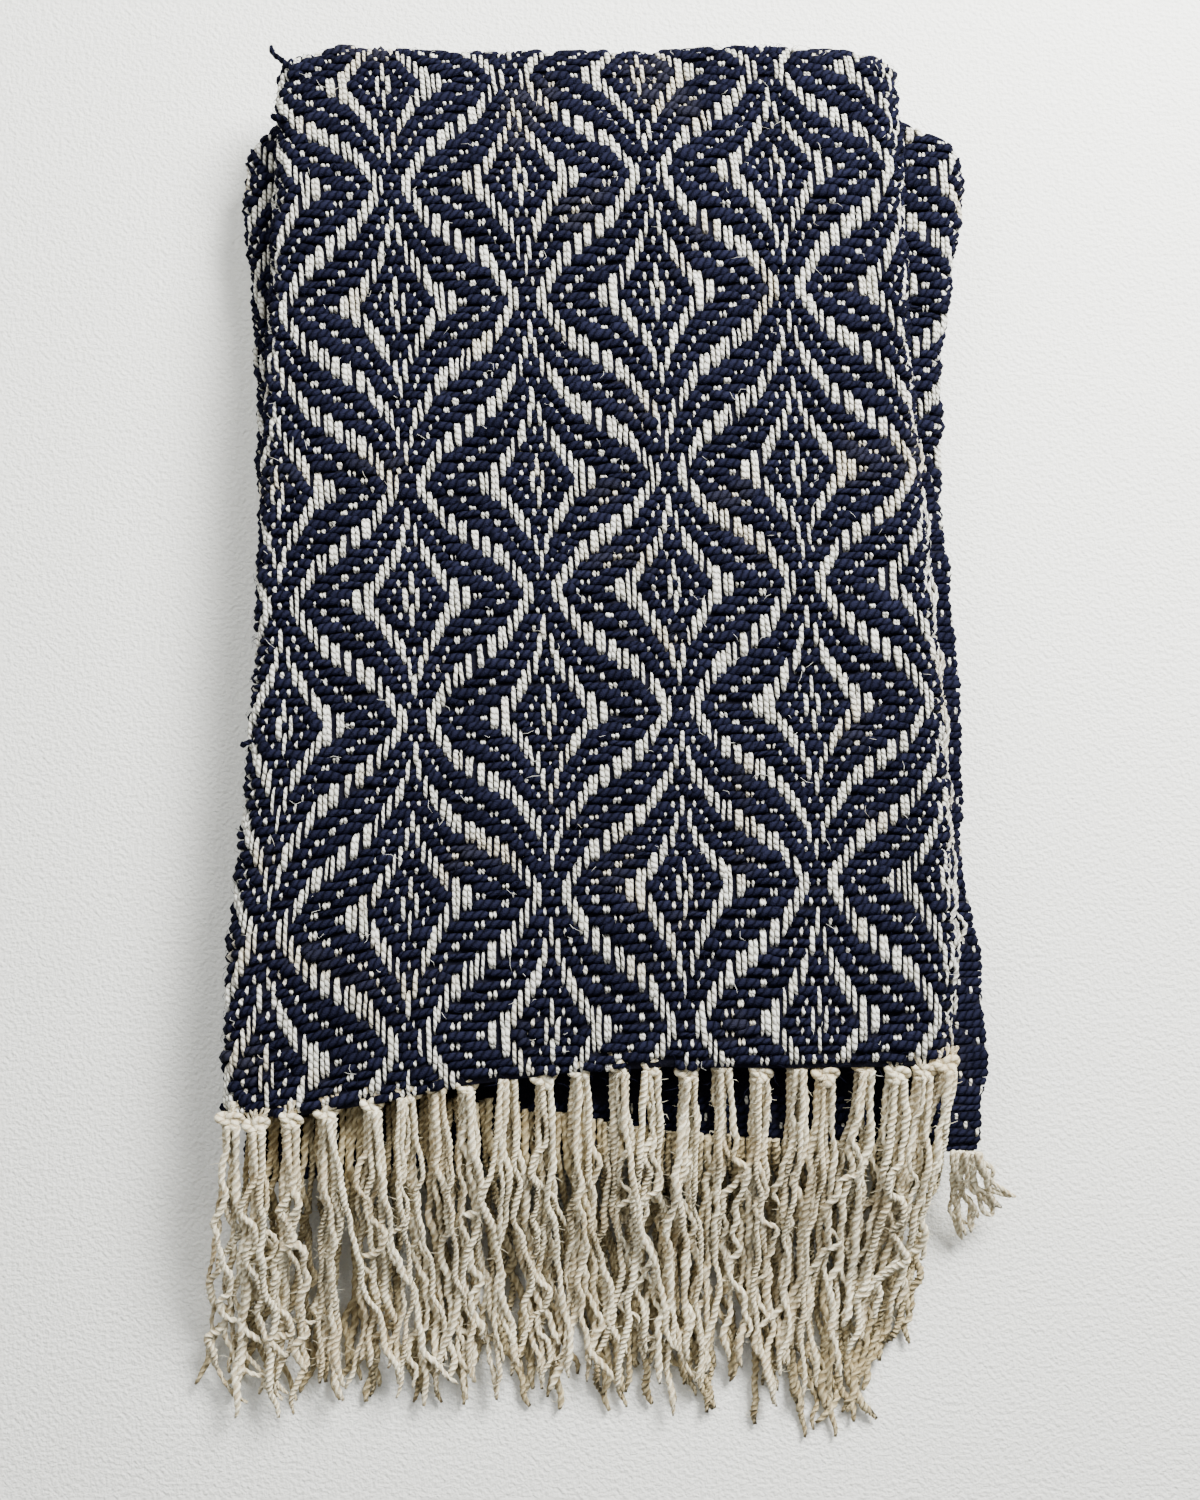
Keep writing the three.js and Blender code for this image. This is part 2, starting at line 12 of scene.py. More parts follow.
import bpy
import numpy as np
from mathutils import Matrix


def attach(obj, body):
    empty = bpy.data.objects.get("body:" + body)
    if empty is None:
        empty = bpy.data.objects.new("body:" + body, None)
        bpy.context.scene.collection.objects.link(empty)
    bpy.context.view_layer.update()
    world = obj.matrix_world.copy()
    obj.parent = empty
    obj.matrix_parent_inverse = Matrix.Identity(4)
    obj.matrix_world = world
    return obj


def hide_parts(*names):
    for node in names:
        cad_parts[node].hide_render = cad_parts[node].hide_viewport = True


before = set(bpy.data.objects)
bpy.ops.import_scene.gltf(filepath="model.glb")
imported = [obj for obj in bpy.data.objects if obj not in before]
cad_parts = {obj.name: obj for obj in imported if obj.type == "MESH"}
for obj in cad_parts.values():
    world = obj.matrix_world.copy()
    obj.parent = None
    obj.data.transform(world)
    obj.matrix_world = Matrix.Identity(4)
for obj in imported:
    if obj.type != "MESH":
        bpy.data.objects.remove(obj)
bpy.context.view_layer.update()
LOG = logging.getLogger("ruana")
MILLIMETRE = 0.001
BODY = "root"
CLOTH_SLOT = "patterned_cloth"
SELVEDGE_SLOT = "navy_selvedge"
FRINGE_SLOT = "warp_fringe"
Colour = tuple[float, float, float, float]
Finishes = dict[str, bpy.types.Material]
Pieces = list[bpy.types.Object]


@dataclass(frozen=True)
class Table:
    """Short table with named columns, read by straight lines between its rows.

    Attributes:
        key: Name of the column that places are looked up in, lowest first.
        columns: Values of each column.
    """

    key: str
    columns: dict[str, tuple[float, ...]]

    def read(self, column: str, at: np.ndarray) -> np.ndarray:
        """Values of one column at the given places."""
        return np.interp(at, self.columns[self.key], self.columns[column])


UPPER_SIDES = Table("y", {
    "y": (-135, -108, -77, -52, -24, 12, 47, 84, 120, 157, 200, 235, 255),
    "left": (-135.6, -135.3, -134.3, -132.2, -129.4, -127.4, -126, -125.2, -124.6, -123.4, -122.3, -122,
             -122.6),
    "right": (119.5, 120.6, 122.6, 122.2, 120.9, 119.2, 116.6, 113.6, 110.8, 108.9, 108.2, 107.2, 104),
})
UPPER_FOLD = Table("x", {
    "x": (-125, -99, -58, -18, 15, 46, 82, 106),
    "y": (249, 254.6, 252.9, 252.2, 252.8, 254.4, 254, 249.5),
})
UPPER_END = Table("x", {
    "x": (-136, -110, -80, -50, -20, 20, 60, 120),
    "y": (-134.6, -134.2, -129.6, -123.4, -119.6, -117, -117.4, -116.8),
})
LOWER_SIDES = Table("y", {
    "y": (-160, -60, 30, 69, 107, 145, 172, 197, 222, 245),
    "left": (-131, -129.5, -128.4, -129, -129.9, -131.4, -134, -136, -136.6, -133),
    "right": (120.5, 121, 122.6, 123.6, 123.2, 124.4, 129, 132.6, 133.4, 129),
})
LOWER_FOLD = Table("x", {
    "x": (-137, -124, -98, -50, 30, 86, 111, 134),
    "y": (221, 230, 238, 243, 244, 239, 232.5, 222),
})
LOWER_END = Table("x", {"x": (-131, -70, 0, 70, 121), "y": (-154, -148, -143, -140, -141)})
SELVEDGE = Table("y", {
    "y": (-151, -144, -130, -116, -96, -78, -61, -38, -4, 35, 66, 100),
    "left": (-128,) * 12,
    "right": (131, 134, 133.4, 136.6, 134.6, 133.4, 129.8, 127, 128.2, 126.2, 123.4, 118),
})
UNDER_END = Table("x", {"x": (-130, -71, 0, 71, 131), "y": (-161.5, -154, -149, -146.5, -149.5)})

# Height of the upper and the under fringe against distance past its root
UPPER_FALL = Table("past", {"past": (0, 32, 48, 66, 84, 130), "z": (40.2, 31, 24, 15, 10, 8.2)})
UNDER_FALL = Table("past", {"past": (0, 5, 14, 28, 44, 64, 110), "z": (29.4, 26, 18, 9, 4.6, 3.2, 2.6)})

# How far the fringe reaches and how far it drifts sideways, against the strand's place across
UPPER_REACH = Table("x", {
    "x": (-132, -112, -80, -40, 20, 70, 100, 118),
    "reach": (103, 106, 108, 112, 118, 112, 98, 76),
    "drift": (-12.5, -5, 2, 4, 3, -4, -11, -13),
})
UNDER_REACH = Table("x", {
    "x": (-128, -60, 20, 66, 90, 118),
    "reach": (74, 84, 92, 105, 94, 62),
    "drift": (-16, 3, 8, 12, 6, -6),
    "early": (27, 28, 9, 3, 3, 3),
})

# The knots along the cut end, from the left
KNOTS = Table("x", {
    "x": (-131.5, -122.2, -110.7, -97.9, -82.3, -70.2, -59.7, -49.6, -35, -22.5, -10,
          3.6, 14.8, 27.7, 39.5, 52.7, 65.6, 75.4, 89, 100.1, 109.5, 117.6),
    "y": (-135.5, -137.6, -135.2, -133.1, -130.4, -125.9, -123.5, -123.8, -119.4, -121.1, -118.3,
          -117.3, -116.6, -118.7, -115.2, -119.4, -115.9, -120.1, -116.6, -119.4, -118.7, -116.6),
})


@dataclass(frozen=True)
class Slump:
    """How the pile sinks towards its folds, its fringe and its sides."""

    fold_from: float = 150
    fold_end: float = 252
    fold: float = 0.13
    fringe_from: float = -60
    fringe_span: float = 90
    fringe: float = 0.07
    half_width: float = 130
    side: float = 0.035

    def at(self, x: np.ndarray, y: np.ndarray) -> np.ndarray:
        """Share of the full height that the pile has at a place."""
        fold = np.clip((y - self.fold_from) / (self.fold_end - self.fold_from), 0, 1)
        fringe = np.clip((self.fringe_from - y) / self.fringe_span, 0, 1)
        side = np.minimum(np.abs(x) / self.half_width, 1)
        return 1 - self.fold * fold**2 - self.fringe * fringe**2 - self.side * side**4


SLUMP = Slump()


@dataclass(frozen=True)
class FoldedSheet:
    """Outer face of a stretch of cloth: flat above, and rolled over the edges that it has.

    Places on it are given flat, as u across and v along before folding, and as depth under the outer face.

    Attributes:
        sides: Outline's left and right against y.
        far: Outline of the fold towards +Y, or None.
        near: Outline of the edge towards -Y that the cloth rolls over, or None.
        top: Height of the outer face.
        roll: Radius of the roll.
        turn: How far the cloth rolls, in degrees.
        inset: Distance inside the outline.
        relief: Height of the soft waves on the flat part.
        wobble: How far the edges weave in and out.
    """

    sides: Table
    far: Table | None
    near: Table | None
    top: float
    roll: float
    turn: float
    inset: float = 0.0
    relief: float = 0.0
    wobble: float = 0.5

    @property
    def arc(self) -> float:
        """Length of cloth in the roll."""
        return self.roll * math.radians(self.turn)

    def flat_part(self, u: np.ndarray, v: np.ndarray) -> tuple[np.ndarray, np.ndarray]:
        """Nearest place on the flat part."""
        margin = self.inset + self.roll
        y = v
        if self.far:
            y = np.minimum(y, self.far.read("y", u) - margin)
        if self.near:
            y = np.maximum(y, self.near.read("y", u) + margin)
        left = self.sides.read("left", y) + margin
        right = self.sides.read("right", y) - margin
        return np.clip(u, left, right), y

    def beyond(self, u: np.ndarray, v: np.ndarray) -> np.ndarray:
        """How far a place lies past the flat part."""
        x, y = self.flat_part(u, v)
        return np.hypot(u - x, v - y)

    def droop(self, x: np.ndarray, y: np.ndarray) -> np.ndarray:
        """How far the cloth hangs below its flat height."""
        return np.zeros_like(x)

    def point(self, u: np.ndarray, v: np.ndarray, depth: np.ndarray) -> np.ndarray:
        """Points of the folded cloth.

        Args:
            u: Places across.
            v: Places along.
            depth: Depths under the outer face.

        Returns:
            Coordinates, with x, y and z in the last axis.
        """
        x, y = self.flat_part(u, v)
        ex, ey = u - x, v - y
        past = np.hypot(ex, ey)
        safe = np.maximum(past, 1e-9)
        turn = np.minimum(past / self.roll, math.radians(self.turn))
        edge = self.wobble * (0.6 * np.sin(v / 7.3 + u / 11) + 0.4 * np.sin(v / 3.1 + 2 + u / 5))
        reach = (self.roll - depth) * np.sin(turn) + edge * np.clip(turn, 0, 1) ** 2
        drop = self.roll - (self.roll - depth) * np.cos(turn)
        px = x + ex / safe * reach
        py = y + ey / safe * reach
        soft = np.sin(px / 17 + 0.7 + py / 41) * np.sin(py / 23 + 1.1) + 0.5 * np.sin(px / 9.3 - py / 13 + 2)
        height = self.top - drop - self.droop(px, py) + self.relief * soft
        return np.stack([px, py, height * SLUMP.at(px, py)], axis=-1)


LOWER_ROLL = 6.5


@dataclass(frozen=True)
class UnderSheet(FoldedSheet):
    """The under cloth, which hangs a little over the lower folds' side and end.

    Attributes:
        side_droop: How far it hangs past the side, at the overhang's width.
        overhang: Width of cloth that hangs past the side.
        end_droop: How far it hangs past the end, at the overhang's length.
        end_overhang: Length of cloth that hangs past the end.
    """

    side_droop: float = 5
    overhang: float = 22
    end_droop: float = 2
    end_overhang: float = 8

    def droop(self, x: np.ndarray, y: np.ndarray) -> np.ndarray:
        """How far the cloth hangs below its flat height."""
        side = np.clip((x - (LOWER_SIDES.read("right", y) - LOWER_ROLL)) / self.overhang, 0, 1.2)
        end = np.clip((LOWER_END.read("y", x) - y) / self.end_overhang, 0, 1.6)
        return self.side_droop * side**2 + self.end_droop * end**2


UPPER = FoldedSheet(UPPER_SIDES, UPPER_FOLD, None, top=46, roll=8.5, turn=131, relief=0.35)
LOWER = FoldedSheet(LOWER_SIDES, LOWER_FOLD, None, top=28, roll=LOWER_ROLL, turn=131, wobble=0.8)
UNDER = UnderSheet(SELVEDGE, None, UNDER_END, top=31.35, roll=1.6, turn=165, wobble=0.9)
LAYER_ROLL = 2.7
LAYER_TOPS = (16.4, 10.9, 5.4)
LAYER_INSET = 0.6

# Depths of the two faces of the thin web under the yarns
WEB_DEPTHS = (2.1, 3.0)

# Distance under the top stretch that the lower stretch's web and yarns reach
LOWER_TUCK = 22

# Place in half a repeat of the first doubled end, and the shafts that are doubled
FIRST_DOUBLED = 7
DOUBLED_SHAFTS = range(9, 14)


def half_threading() -> tuple[int, ...]:
    """Shafts of half a repeat, from one turning end to the next, with doubled ends in its middle."""
    doubled = [shaft for shaft in DOUBLED_SHAFTS for _ in range(2)]
    return (0, 2, 4, 5, 6, 7, 8, *doubled, 14, 15, 16, 17, 18, 20, 22)


def pairing(end: np.ndarray) -> np.ndarray:
    """Which way each doubled end leans to its partner: 1 to the right, -1 to the left, 0 if it is single."""
    last = len(half_threading()) - 1
    place = np.mod(end, 2 * last)
    rising = place <= last
    step = np.where(rising, place, 2 * last - place) - FIRST_DOUBLED
    lean = np.where(np.mod(step, 2) == 0, 1, -1) * np.where(rising, 1, -1)
    return np.where((step >= 0) & (step < 2 * len(DOUBLED_SHAFTS)), lean, 0)


@dataclass(frozen=True)
class OgeeTwill:
    """Draft of the undulating twill: a traditional threading, treadled back and forth.

    Attributes:
        reversals: Picks where the treadling turns back, and the treadle there.
        repeat: Picks in one repeat.
    """

    reversals: Table = Table("pick", {
        "pick": (0, 14, 28, 50, 64, 78, 100),
        "treadle": (14, 0, 14, -8, 6, -8, 14),
    })
    repeat: int = 100

    def warp_on_top(self, end: np.ndarray, pick: np.ndarray) -> np.ndarray:
        """True where the warp crosses over the weft."""
        half = np.array(half_threading())
        last = len(half) - 1
        place = np.mod(end, 2 * last)
        shaft = half[np.where(place <= last, place, 2 * last - place)]
        treadle = np.rint(self.reversals.read("treadle", np.mod(pick, self.repeat))).astype(int)
        return np.isin(np.mod(shaft - treadle - 4, 8), (7, 0, 1, 4))


@dataclass(frozen=True)
class SelvedgeDraft:
    """Weft-faced edge of the cloth: the warp shows at one crossing in every few."""

    every: int = 11

    def warp_on_top(self, end: np.ndarray, pick: np.ndarray) -> np.ndarray:
        """True where the warp crosses over the weft."""
        return np.mod(3 * end + 5 * pick, self.every) == 0


@dataclass(frozen=True)
class PlainLattice:
    """Evenly set ends and picks.

    Attributes:
        end_pitch: Distance between ends.
        pick_pitch: Distance between picks.
        u0: Place across of end 0, where v is 0.
        v0: Place along of pick 0.
        lean: How far the ends lean sideways along the cloth.
    """

    end_pitch: float = 2.017
    pick_pitch: float = 2.95
    u0: float = 0.0
    v0: float = 0.0
    lean: float = 0.03

    def place(self, end: np.ndarray, pick: np.ndarray) -> tuple[np.ndarray, np.ndarray]:
        """Flat place of a crossing."""
        v = self.v0 - self.pick_pitch * pick
        return self.u0 + self.end_pitch * end - self.lean * v, v


@dataclass(frozen=True)
class UpperLattice:
    """Ends and picks of the top stretch, which lean and bow as they lie on the bundle.

    Attributes:
        end_pitch: Distance between ends.
        pick_pitch: Distance between picks, of which a yarn's twist is told.
        middle: Flat place of end 0 against the pick.
        slope: Rise of the picks to the right, up to right_from.
        right_slope: Their rise beyond it.
        right_from: Place across where the slope changes.
        bow: How far the picks bow down on the left, beyond bow_from.
        bow_from: Place across where the bow starts.
        fade_from: Place along where the bow starts.
        fade_span: Length in which it grows.
        loose_from: Pick from which the ends on the left spread.
        loose_span: Picks in which the spread grows.
        loosening: Spread of each end.
        loose_ends: Ends left of the middle that don't spread.
    """

    end_pitch: float = 2.017
    pick_pitch: float = 2.95
    middle: Table = Table("pick", {
        "pick": (-30, -22, 0, 14, 28, 50, 64, 78, 100, 114, 126),
        "u": (2.5, 5, 10.6, 14.4, 17.3, 21.2, 23.2, 25.4, 26.6, 26.8, 27),
        "v": (325, 302, 240.9, 202.1, 156.8, 90.4, 50.2, 6.5, -55.5, -104, -143),
    })
    slope: float = 0.05
    right_slope: float = 0.03
    right_from: float = 30
    bow: float = 0.17
    bow_from: float = -56
    fade_from: float = 10
    fade_span: float = 75
    loose_from: float = 78
    loose_span: float = 22
    loosening: float = 0.14
    loose_ends: float = 23

    def place(self, end: np.ndarray, pick: np.ndarray) -> tuple[np.ndarray, np.ndarray]:
        """Flat place of a crossing."""
        u0 = self.middle.read("u", pick)
        v0 = self.middle.read("v", pick)
        loose = np.clip((pick - self.loose_from) / self.loose_span, 0, 1)
        u = u0 + self.end_pitch * end + self.loosening * loose * np.minimum(end + self.loose_ends, 0)
        beyond = np.maximum(u - self.right_from, 0)
        rise = self.slope * np.minimum(u, self.right_from) + self.right_slope * beyond
        fade = np.clip((self.fade_from - v0) / self.fade_span, 0, 1)
        return u, v0 + rise - self.bow * np.maximum(self.bow_from - u, 0) * fade * fade * (3 - 2 * fade)


class System(Enum):
    """The two yarn systems of the cloth."""

    WEFT = "weft"
    WARP = "warp"


@dataclass(frozen=True)
class Yarn:
    """Section of a yarn and how deep it lies where it shows and where it dives.

    Attributes:
        half_width: Half its width.
        half_height: Half its height.
        over: Depth of its middle where it shows.
        under: Depth where it dives.
        angles: Places of the tube's corners round the section, in degrees.
        overlap: How far a float runs on past its crossings, in crossings.
        unevenness: Spread of the thickness.
        wander: How far it strays sideways.
        single: Width of a float of one crossing, as a share.
        taper: Share of its width that it loses at its ends.
    """

    half_width: float
    half_height: float
    over: float
    under: float
    angles: tuple[float, ...]
    overlap: float = 0.12
    unevenness: float = 0.14
    wander: float = 0.34
    single: float = 1.0
    taper: float = 0.3


WEFT = Yarn(1.68, 1.3, 0.8, 2.6, (-35, 25, 90, 155, 215), overlap=0.42, unevenness=0.18, wander=0.42)
WARP = Yarn(0.96, 0.8, 0.95, 2.5, (-30, 55, 125, 210), overlap=0.0, unevenness=0.17, wander=0.36, single=0.88,
            taper=0.5)


class MeshParts:
    """Points, faces and yarn places of a mesh, gathered tube by tube."""

    def __init__(self) -> None:
        """Starts empty."""
        self.points: list[np.ndarray] = []
        self.places: list[np.ndarray] = []
        self.faces: list[list[int]] = []
        self.count = 0

    def add_tubes(self, points: np.ndarray, places: np.ndarray) -> None:
        """Adds tubes that are closed at both ends and all have the same number of rings.

        Args:
            points: Coordinates by tube, ring and place round the ring.
            places: Yarn place of each point: along, around and tint.
        """
        tubes, rings, sides = points.shape[:3]
        index = self.count + np.arange(tubes * rings * sides).reshape(tubes, rings, sides)
        after = np.roll(index, -1, axis=2)
        quads = np.stack([index[:, :-1], after[:, :-1], after[:, 1:], index[:, 1:]], axis=-1)
        self.faces.extend(quads.reshape(-1, 4).tolist())
        self.faces.extend(index[:, 0, ::-1].tolist())
        self.faces.extend(index[:, -1].tolist())
        self.points.append(points.reshape(-1, 3))
        self.places.append(places.reshape(-1, 3))
        self.count += tubes * rings * sides

    def add_faces(self, points: np.ndarray, faces: list[list[int]], tint: float = 0.5) -> None:
        """Adds points with faces of their own."""
        self.points.append(points)
        self.places.append(np.column_stack([points[:, 0], points[:, 1], np.full(len(points), tint)]))
        self.faces.extend([[n + self.count for n in face] for face in faces])
        self.count += len(points)

    def piece(self, name: str, material: bpy.types.Material, slot: str, *nodes: str) -> bpy.types.Object:
        """Makes the piece, which stands for the given nodes.

        Args:
            name: The piece's name.
            material: Its finish.
            slot: The record's material slot; not used.
            *nodes: CAD nodes that it stands for.

        Returns:
            The new object.
        """
        mesh = bpy.data.meshes.new(name)
        mesh.from_pydata((np.concatenate(self.points) * MILLIMETRE).tolist(), [], self.faces)
        places = mesh.attributes.new("yarn", "FLOAT_VECTOR", "POINT")
        places.data.foreach_set("vector", np.concatenate(self.places).astype(np.float32).ravel())
        mesh.polygons.foreach_set("use_smooth", np.ones(len(mesh.polygons), dtype=bool))
        mesh.materials.append(material)
        obj = bpy.data.objects.new(name, mesh)
        bpy.context.scene.collection.objects.link(obj)
        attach(obj, BODY)
        if nodes:
            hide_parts(*nodes)
        LOG.info("%s: %d triangles", name, sum(len(face) - 2 for face in self.faces))
        return obj


def runs(mask: np.ndarray) -> list[tuple[int, int]]:
    """First index and length of each run of true values."""
    edges = np.flatnonzero(np.diff(np.concatenate(([0], mask.astype(int), [0]))))
    return [(int(a), int(b - a)) for a, b in zip(edges[::2], edges[1::2])]


def smooth_noise(rng: np.random.Generator, rows: int, columns: int, width: int) -> np.ndarray:
    """Random rows of values near 0 that change slowly along each row."""
    kernel = np.hanning(width + 2)[1:-1]
    kernel /= np.sqrt((kernel**2).sum())
    raw = rng.normal(size=(rows, columns + width - 1))
    return np.array([np.convolve(row, kernel, mode="valid") for row in raw])


@dataclass
class WovenCloth:
    """Yarns of one stretch of cloth on its folded surface.

    Attributes:
        surface: The folded surface.
        lattice: Where ends and picks lie.
        draft: Which yarn lies on top.
        ends: First and last end.
        picks: First and last pick.
        seed: Seed of the yarns' unevenness.
        from_edge: Only yarn that lies less than this inside the flat part's edge is made, or all if None.
        cut_end: Outline of the cut end, or None.
        steps: Steps along a tube for each crossing.
        pair_lean: How far doubled ends lean to each other.
        lift: Spread of the floats' height.
        roll_margin: Cloth left free at the roll's end.
        cut_margin: Cloth left free at the cut end.
        shown: Which crossings are made.
        top: At which of them the warp lies on top.
    """

    surface: FoldedSheet
    lattice: PlainLattice | UpperLattice
    draft: OgeeTwill | SelvedgeDraft
    ends: tuple[int, int]
    picks: tuple[int, int]
    seed: int
    from_edge: float | None = None
    cut_end: Table | None = None
    steps: int = 2
    pair_lean: float = 0.26
    lift: float = 0.22
    roll_margin: float = 0.8
    cut_margin: float = 1.2
    shown: np.ndarray = field(init=False)
    top: np.ndarray = field(init=False)

    def __post_init__(self) -> None:
        """Finds the crossings that show."""
        end, pick = np.meshgrid(np.arange(self.ends[0], self.ends[1] + 1),
                                np.arange(self.picks[0], self.picks[1] + 1))
        u, v = self.lattice.place(end.astype(float), pick.astype(float))
        self.shown = self.surface.beyond(u, v) < self.surface.arc - self.roll_margin
        if self.cut_end:
            self.shown &= v > self.cut_end.read("y", u) + self.cut_margin
        if self.from_edge is not None:
            reach = self.from_edge
            ways = ((reach, 0), (-reach, 0), (0, reach), (0, -reach))
            self.shown &= np.any([self.surface.beyond(u + across, v + along) > 0
                                  for across, along in ways], axis=0)
        self.top = self.draft.warp_on_top(end, pick)
        rng = np.random.default_rng(self.seed)
        rows, columns = end.shape
        self.pick_shift = (0.8 * smooth_noise(rng, rows, columns, 11)
                           + 0.4 * smooth_noise(rng, rows, columns, 4))
        self.end_shift = (0.7 * smooth_noise(rng, columns, rows, 9)
                          + 0.5 * smooth_noise(rng, columns, rows, 4)).T
        self.pick_tint = rng.uniform(0.25, 0.75, rows)
        self.end_tint = rng.uniform(0.2, 0.8, columns)
        self.rng = rng

    def floats(self, system: System) -> dict[int, list[tuple[int, int]]]:
        """Row and column where each float starts, by its number of crossings."""
        weft = system is System.WEFT
        mask = self.shown & (~self.top if weft else self.top)
        lines = mask if weft else mask.T
        found: dict[int, list[tuple[int, int]]] = {}
        for line, row in enumerate(lines):
            for start, length in runs(row):
                found.setdefault(length, []).append((line, start))
        return found

    def build(self, system: System, yarn: Yarn, parts: MeshParts) -> None:
        """Adds every float of one yarn system."""
        weft = system is System.WEFT
        angles = np.radians(yarn.angles)
        aside = yarn.half_width * np.cos(angles)
        above = yarn.half_height * np.sin(angles)
        shift = self.pick_shift if weft else self.end_shift
        for length, starts in sorted(self.floats(system).items()):
            rings = self.steps * length + 1
            share = np.linspace(0, 1, rings)
            line = np.array([place[0] for place in starts])[:, None]
            first = np.array([place[1] for place in starts])[:, None]
            along = first - 0.5 - yarn.overlap + share * (length + 2 * yarn.overlap)
            low = np.abs(2 * share - 1) ** (1.6 + length)
            count = len(starts)
            slub = 1 + yarn.unevenness * self.rng.normal(size=(count, 1))
            lift = self.lift * self.rng.normal(size=(count, 1))
            nearest = np.clip(np.rint(along).astype(int), 0, (shift.shape[1] if weft else shift.shape[0]) - 1)
            moved = shift[line, nearest] if weft else shift[nearest, line]
            tint = (self.pick_tint if weft else self.end_tint)[line] + self.rng.normal(size=(count, 1)) * 0.12
            if weft:
                u, v = self.lattice.place(along + self.ends[0], line + float(self.picks[0]))
            else:
                u, v = self.lattice.place(line + float(self.ends[0]), along + self.picks[0])
                u = u + self.pair_lean * pairing(line + self.ends[0])
            depth = yarn.over + lift + (yarn.under - yarn.over) * low
            width = slub * (1 - yarn.taper * low) * (yarn.single if length == 1 else 1)
            side = aside * width[..., None] + (yarn.wander * moved)[..., None]
            us = u[..., None] + (0 if weft else side)
            vs = v[..., None] + (side if weft else 0)
            us, vs = np.broadcast_arrays(us, vs)
            deep = depth[..., None] - above * slub[..., None]
            points = self.surface.point(us, vs, deep)
            pitch = self.lattice.end_pitch if weft else self.lattice.pick_pitch
            places = ((along * pitch)[..., None], yarn.half_width * angles, tint[..., None])
            parts.add_tubes(points, np.stack([np.broadcast_to(place, us.shape) for place in places], axis=-1))


def closed_wall(top: np.ndarray, bottom: np.ndarray) -> tuple[np.ndarray, list[list[int]]]:
    """Wall between two grids of points, closed round its rim.

    Args:
        top: Points by row towards +Y and column towards +X.
        bottom: Points of the other face.

    Returns:
        Points, and faces that point outwards.
    """
    rows, columns = top.shape[:2]
    over = np.arange(rows * columns).reshape(rows, columns)
    under = over + rows * columns
    quads = [
        np.stack([over[:-1, :-1], over[:-1, 1:], over[1:, 1:], over[1:, :-1]], -1).reshape(-1, 4),
        np.stack([under[:-1, :-1], under[1:, :-1], under[1:, 1:], under[:-1, 1:]], -1).reshape(-1, 4),
        np.stack([over[0, 1:], over[0, :-1], under[0, :-1], under[0, 1:]], -1),
        np.stack([over[-1, :-1], over[-1, 1:], under[-1, 1:], under[-1, :-1]], -1),
        np.stack([over[:-1, 0], over[1:, 0], under[1:, 0], under[:-1, 0]], -1),
        np.stack([over[1:, -1], over[:-1, -1], under[:-1, -1], under[1:, -1]], -1),
    ]
    points = np.concatenate([top.reshape(-1, 3), bottom.reshape(-1, 3)])
    return points, np.concatenate(quads).tolist()


def rim(surface: FoldedSheet, side: int = 90, corner: int = 10, far: int = 60) -> dict[str, np.ndarray]:
    """Places round the flat part, from the end's left corner up, across the fold and down the right.

    Args:
        surface: The folded surface.
        side: Places up each side.
        corner: Places round each corner.
        far: Places across the fold.

    Returns:
        Base places u and v, and the way out at each.
    """
    margin = surface.inset + surface.roll
    middle = float(surface.far.read("y", 0.0)) - margin
    end = float(LOWER_END.read("y", -120.0)) + surface.inset
    left_v = np.linspace(end, middle, side)
    left_u = surface.sides.read("left", left_v) + margin
    top_left = float(left_u[-1])
    right_v = left_v[::-1]
    right_u = surface.sides.read("right", right_v) - margin
    top_right = float(right_u[0])
    far_u = np.linspace(top_left, top_right, far)
    far_v = surface.far.read("y", far_u) - margin
    left_v = np.minimum(left_v, far_v[0])
    right_v = np.minimum(right_v, far_v[-1])
    bend = np.linspace(0, math.pi / 2, corner)
    parts = [
        (left_u, left_v, -np.ones(side), np.zeros(side)),
        (np.full(corner, top_left), np.full(corner, far_v[0]), -np.cos(bend), np.sin(bend)),
        (far_u, far_v, np.zeros(far), np.ones(far)),
        (np.full(corner, top_right), np.full(corner, far_v[-1]), np.sin(bend), np.cos(bend)),
        (right_u, right_v, np.ones(side), np.zeros(side)),
    ]
    u, v, out_u, out_v = (np.concatenate([part[n] for part in parts]) for n in range(4))
    return {"u": u, "v": v, "out_u": out_u, "out_v": out_v}


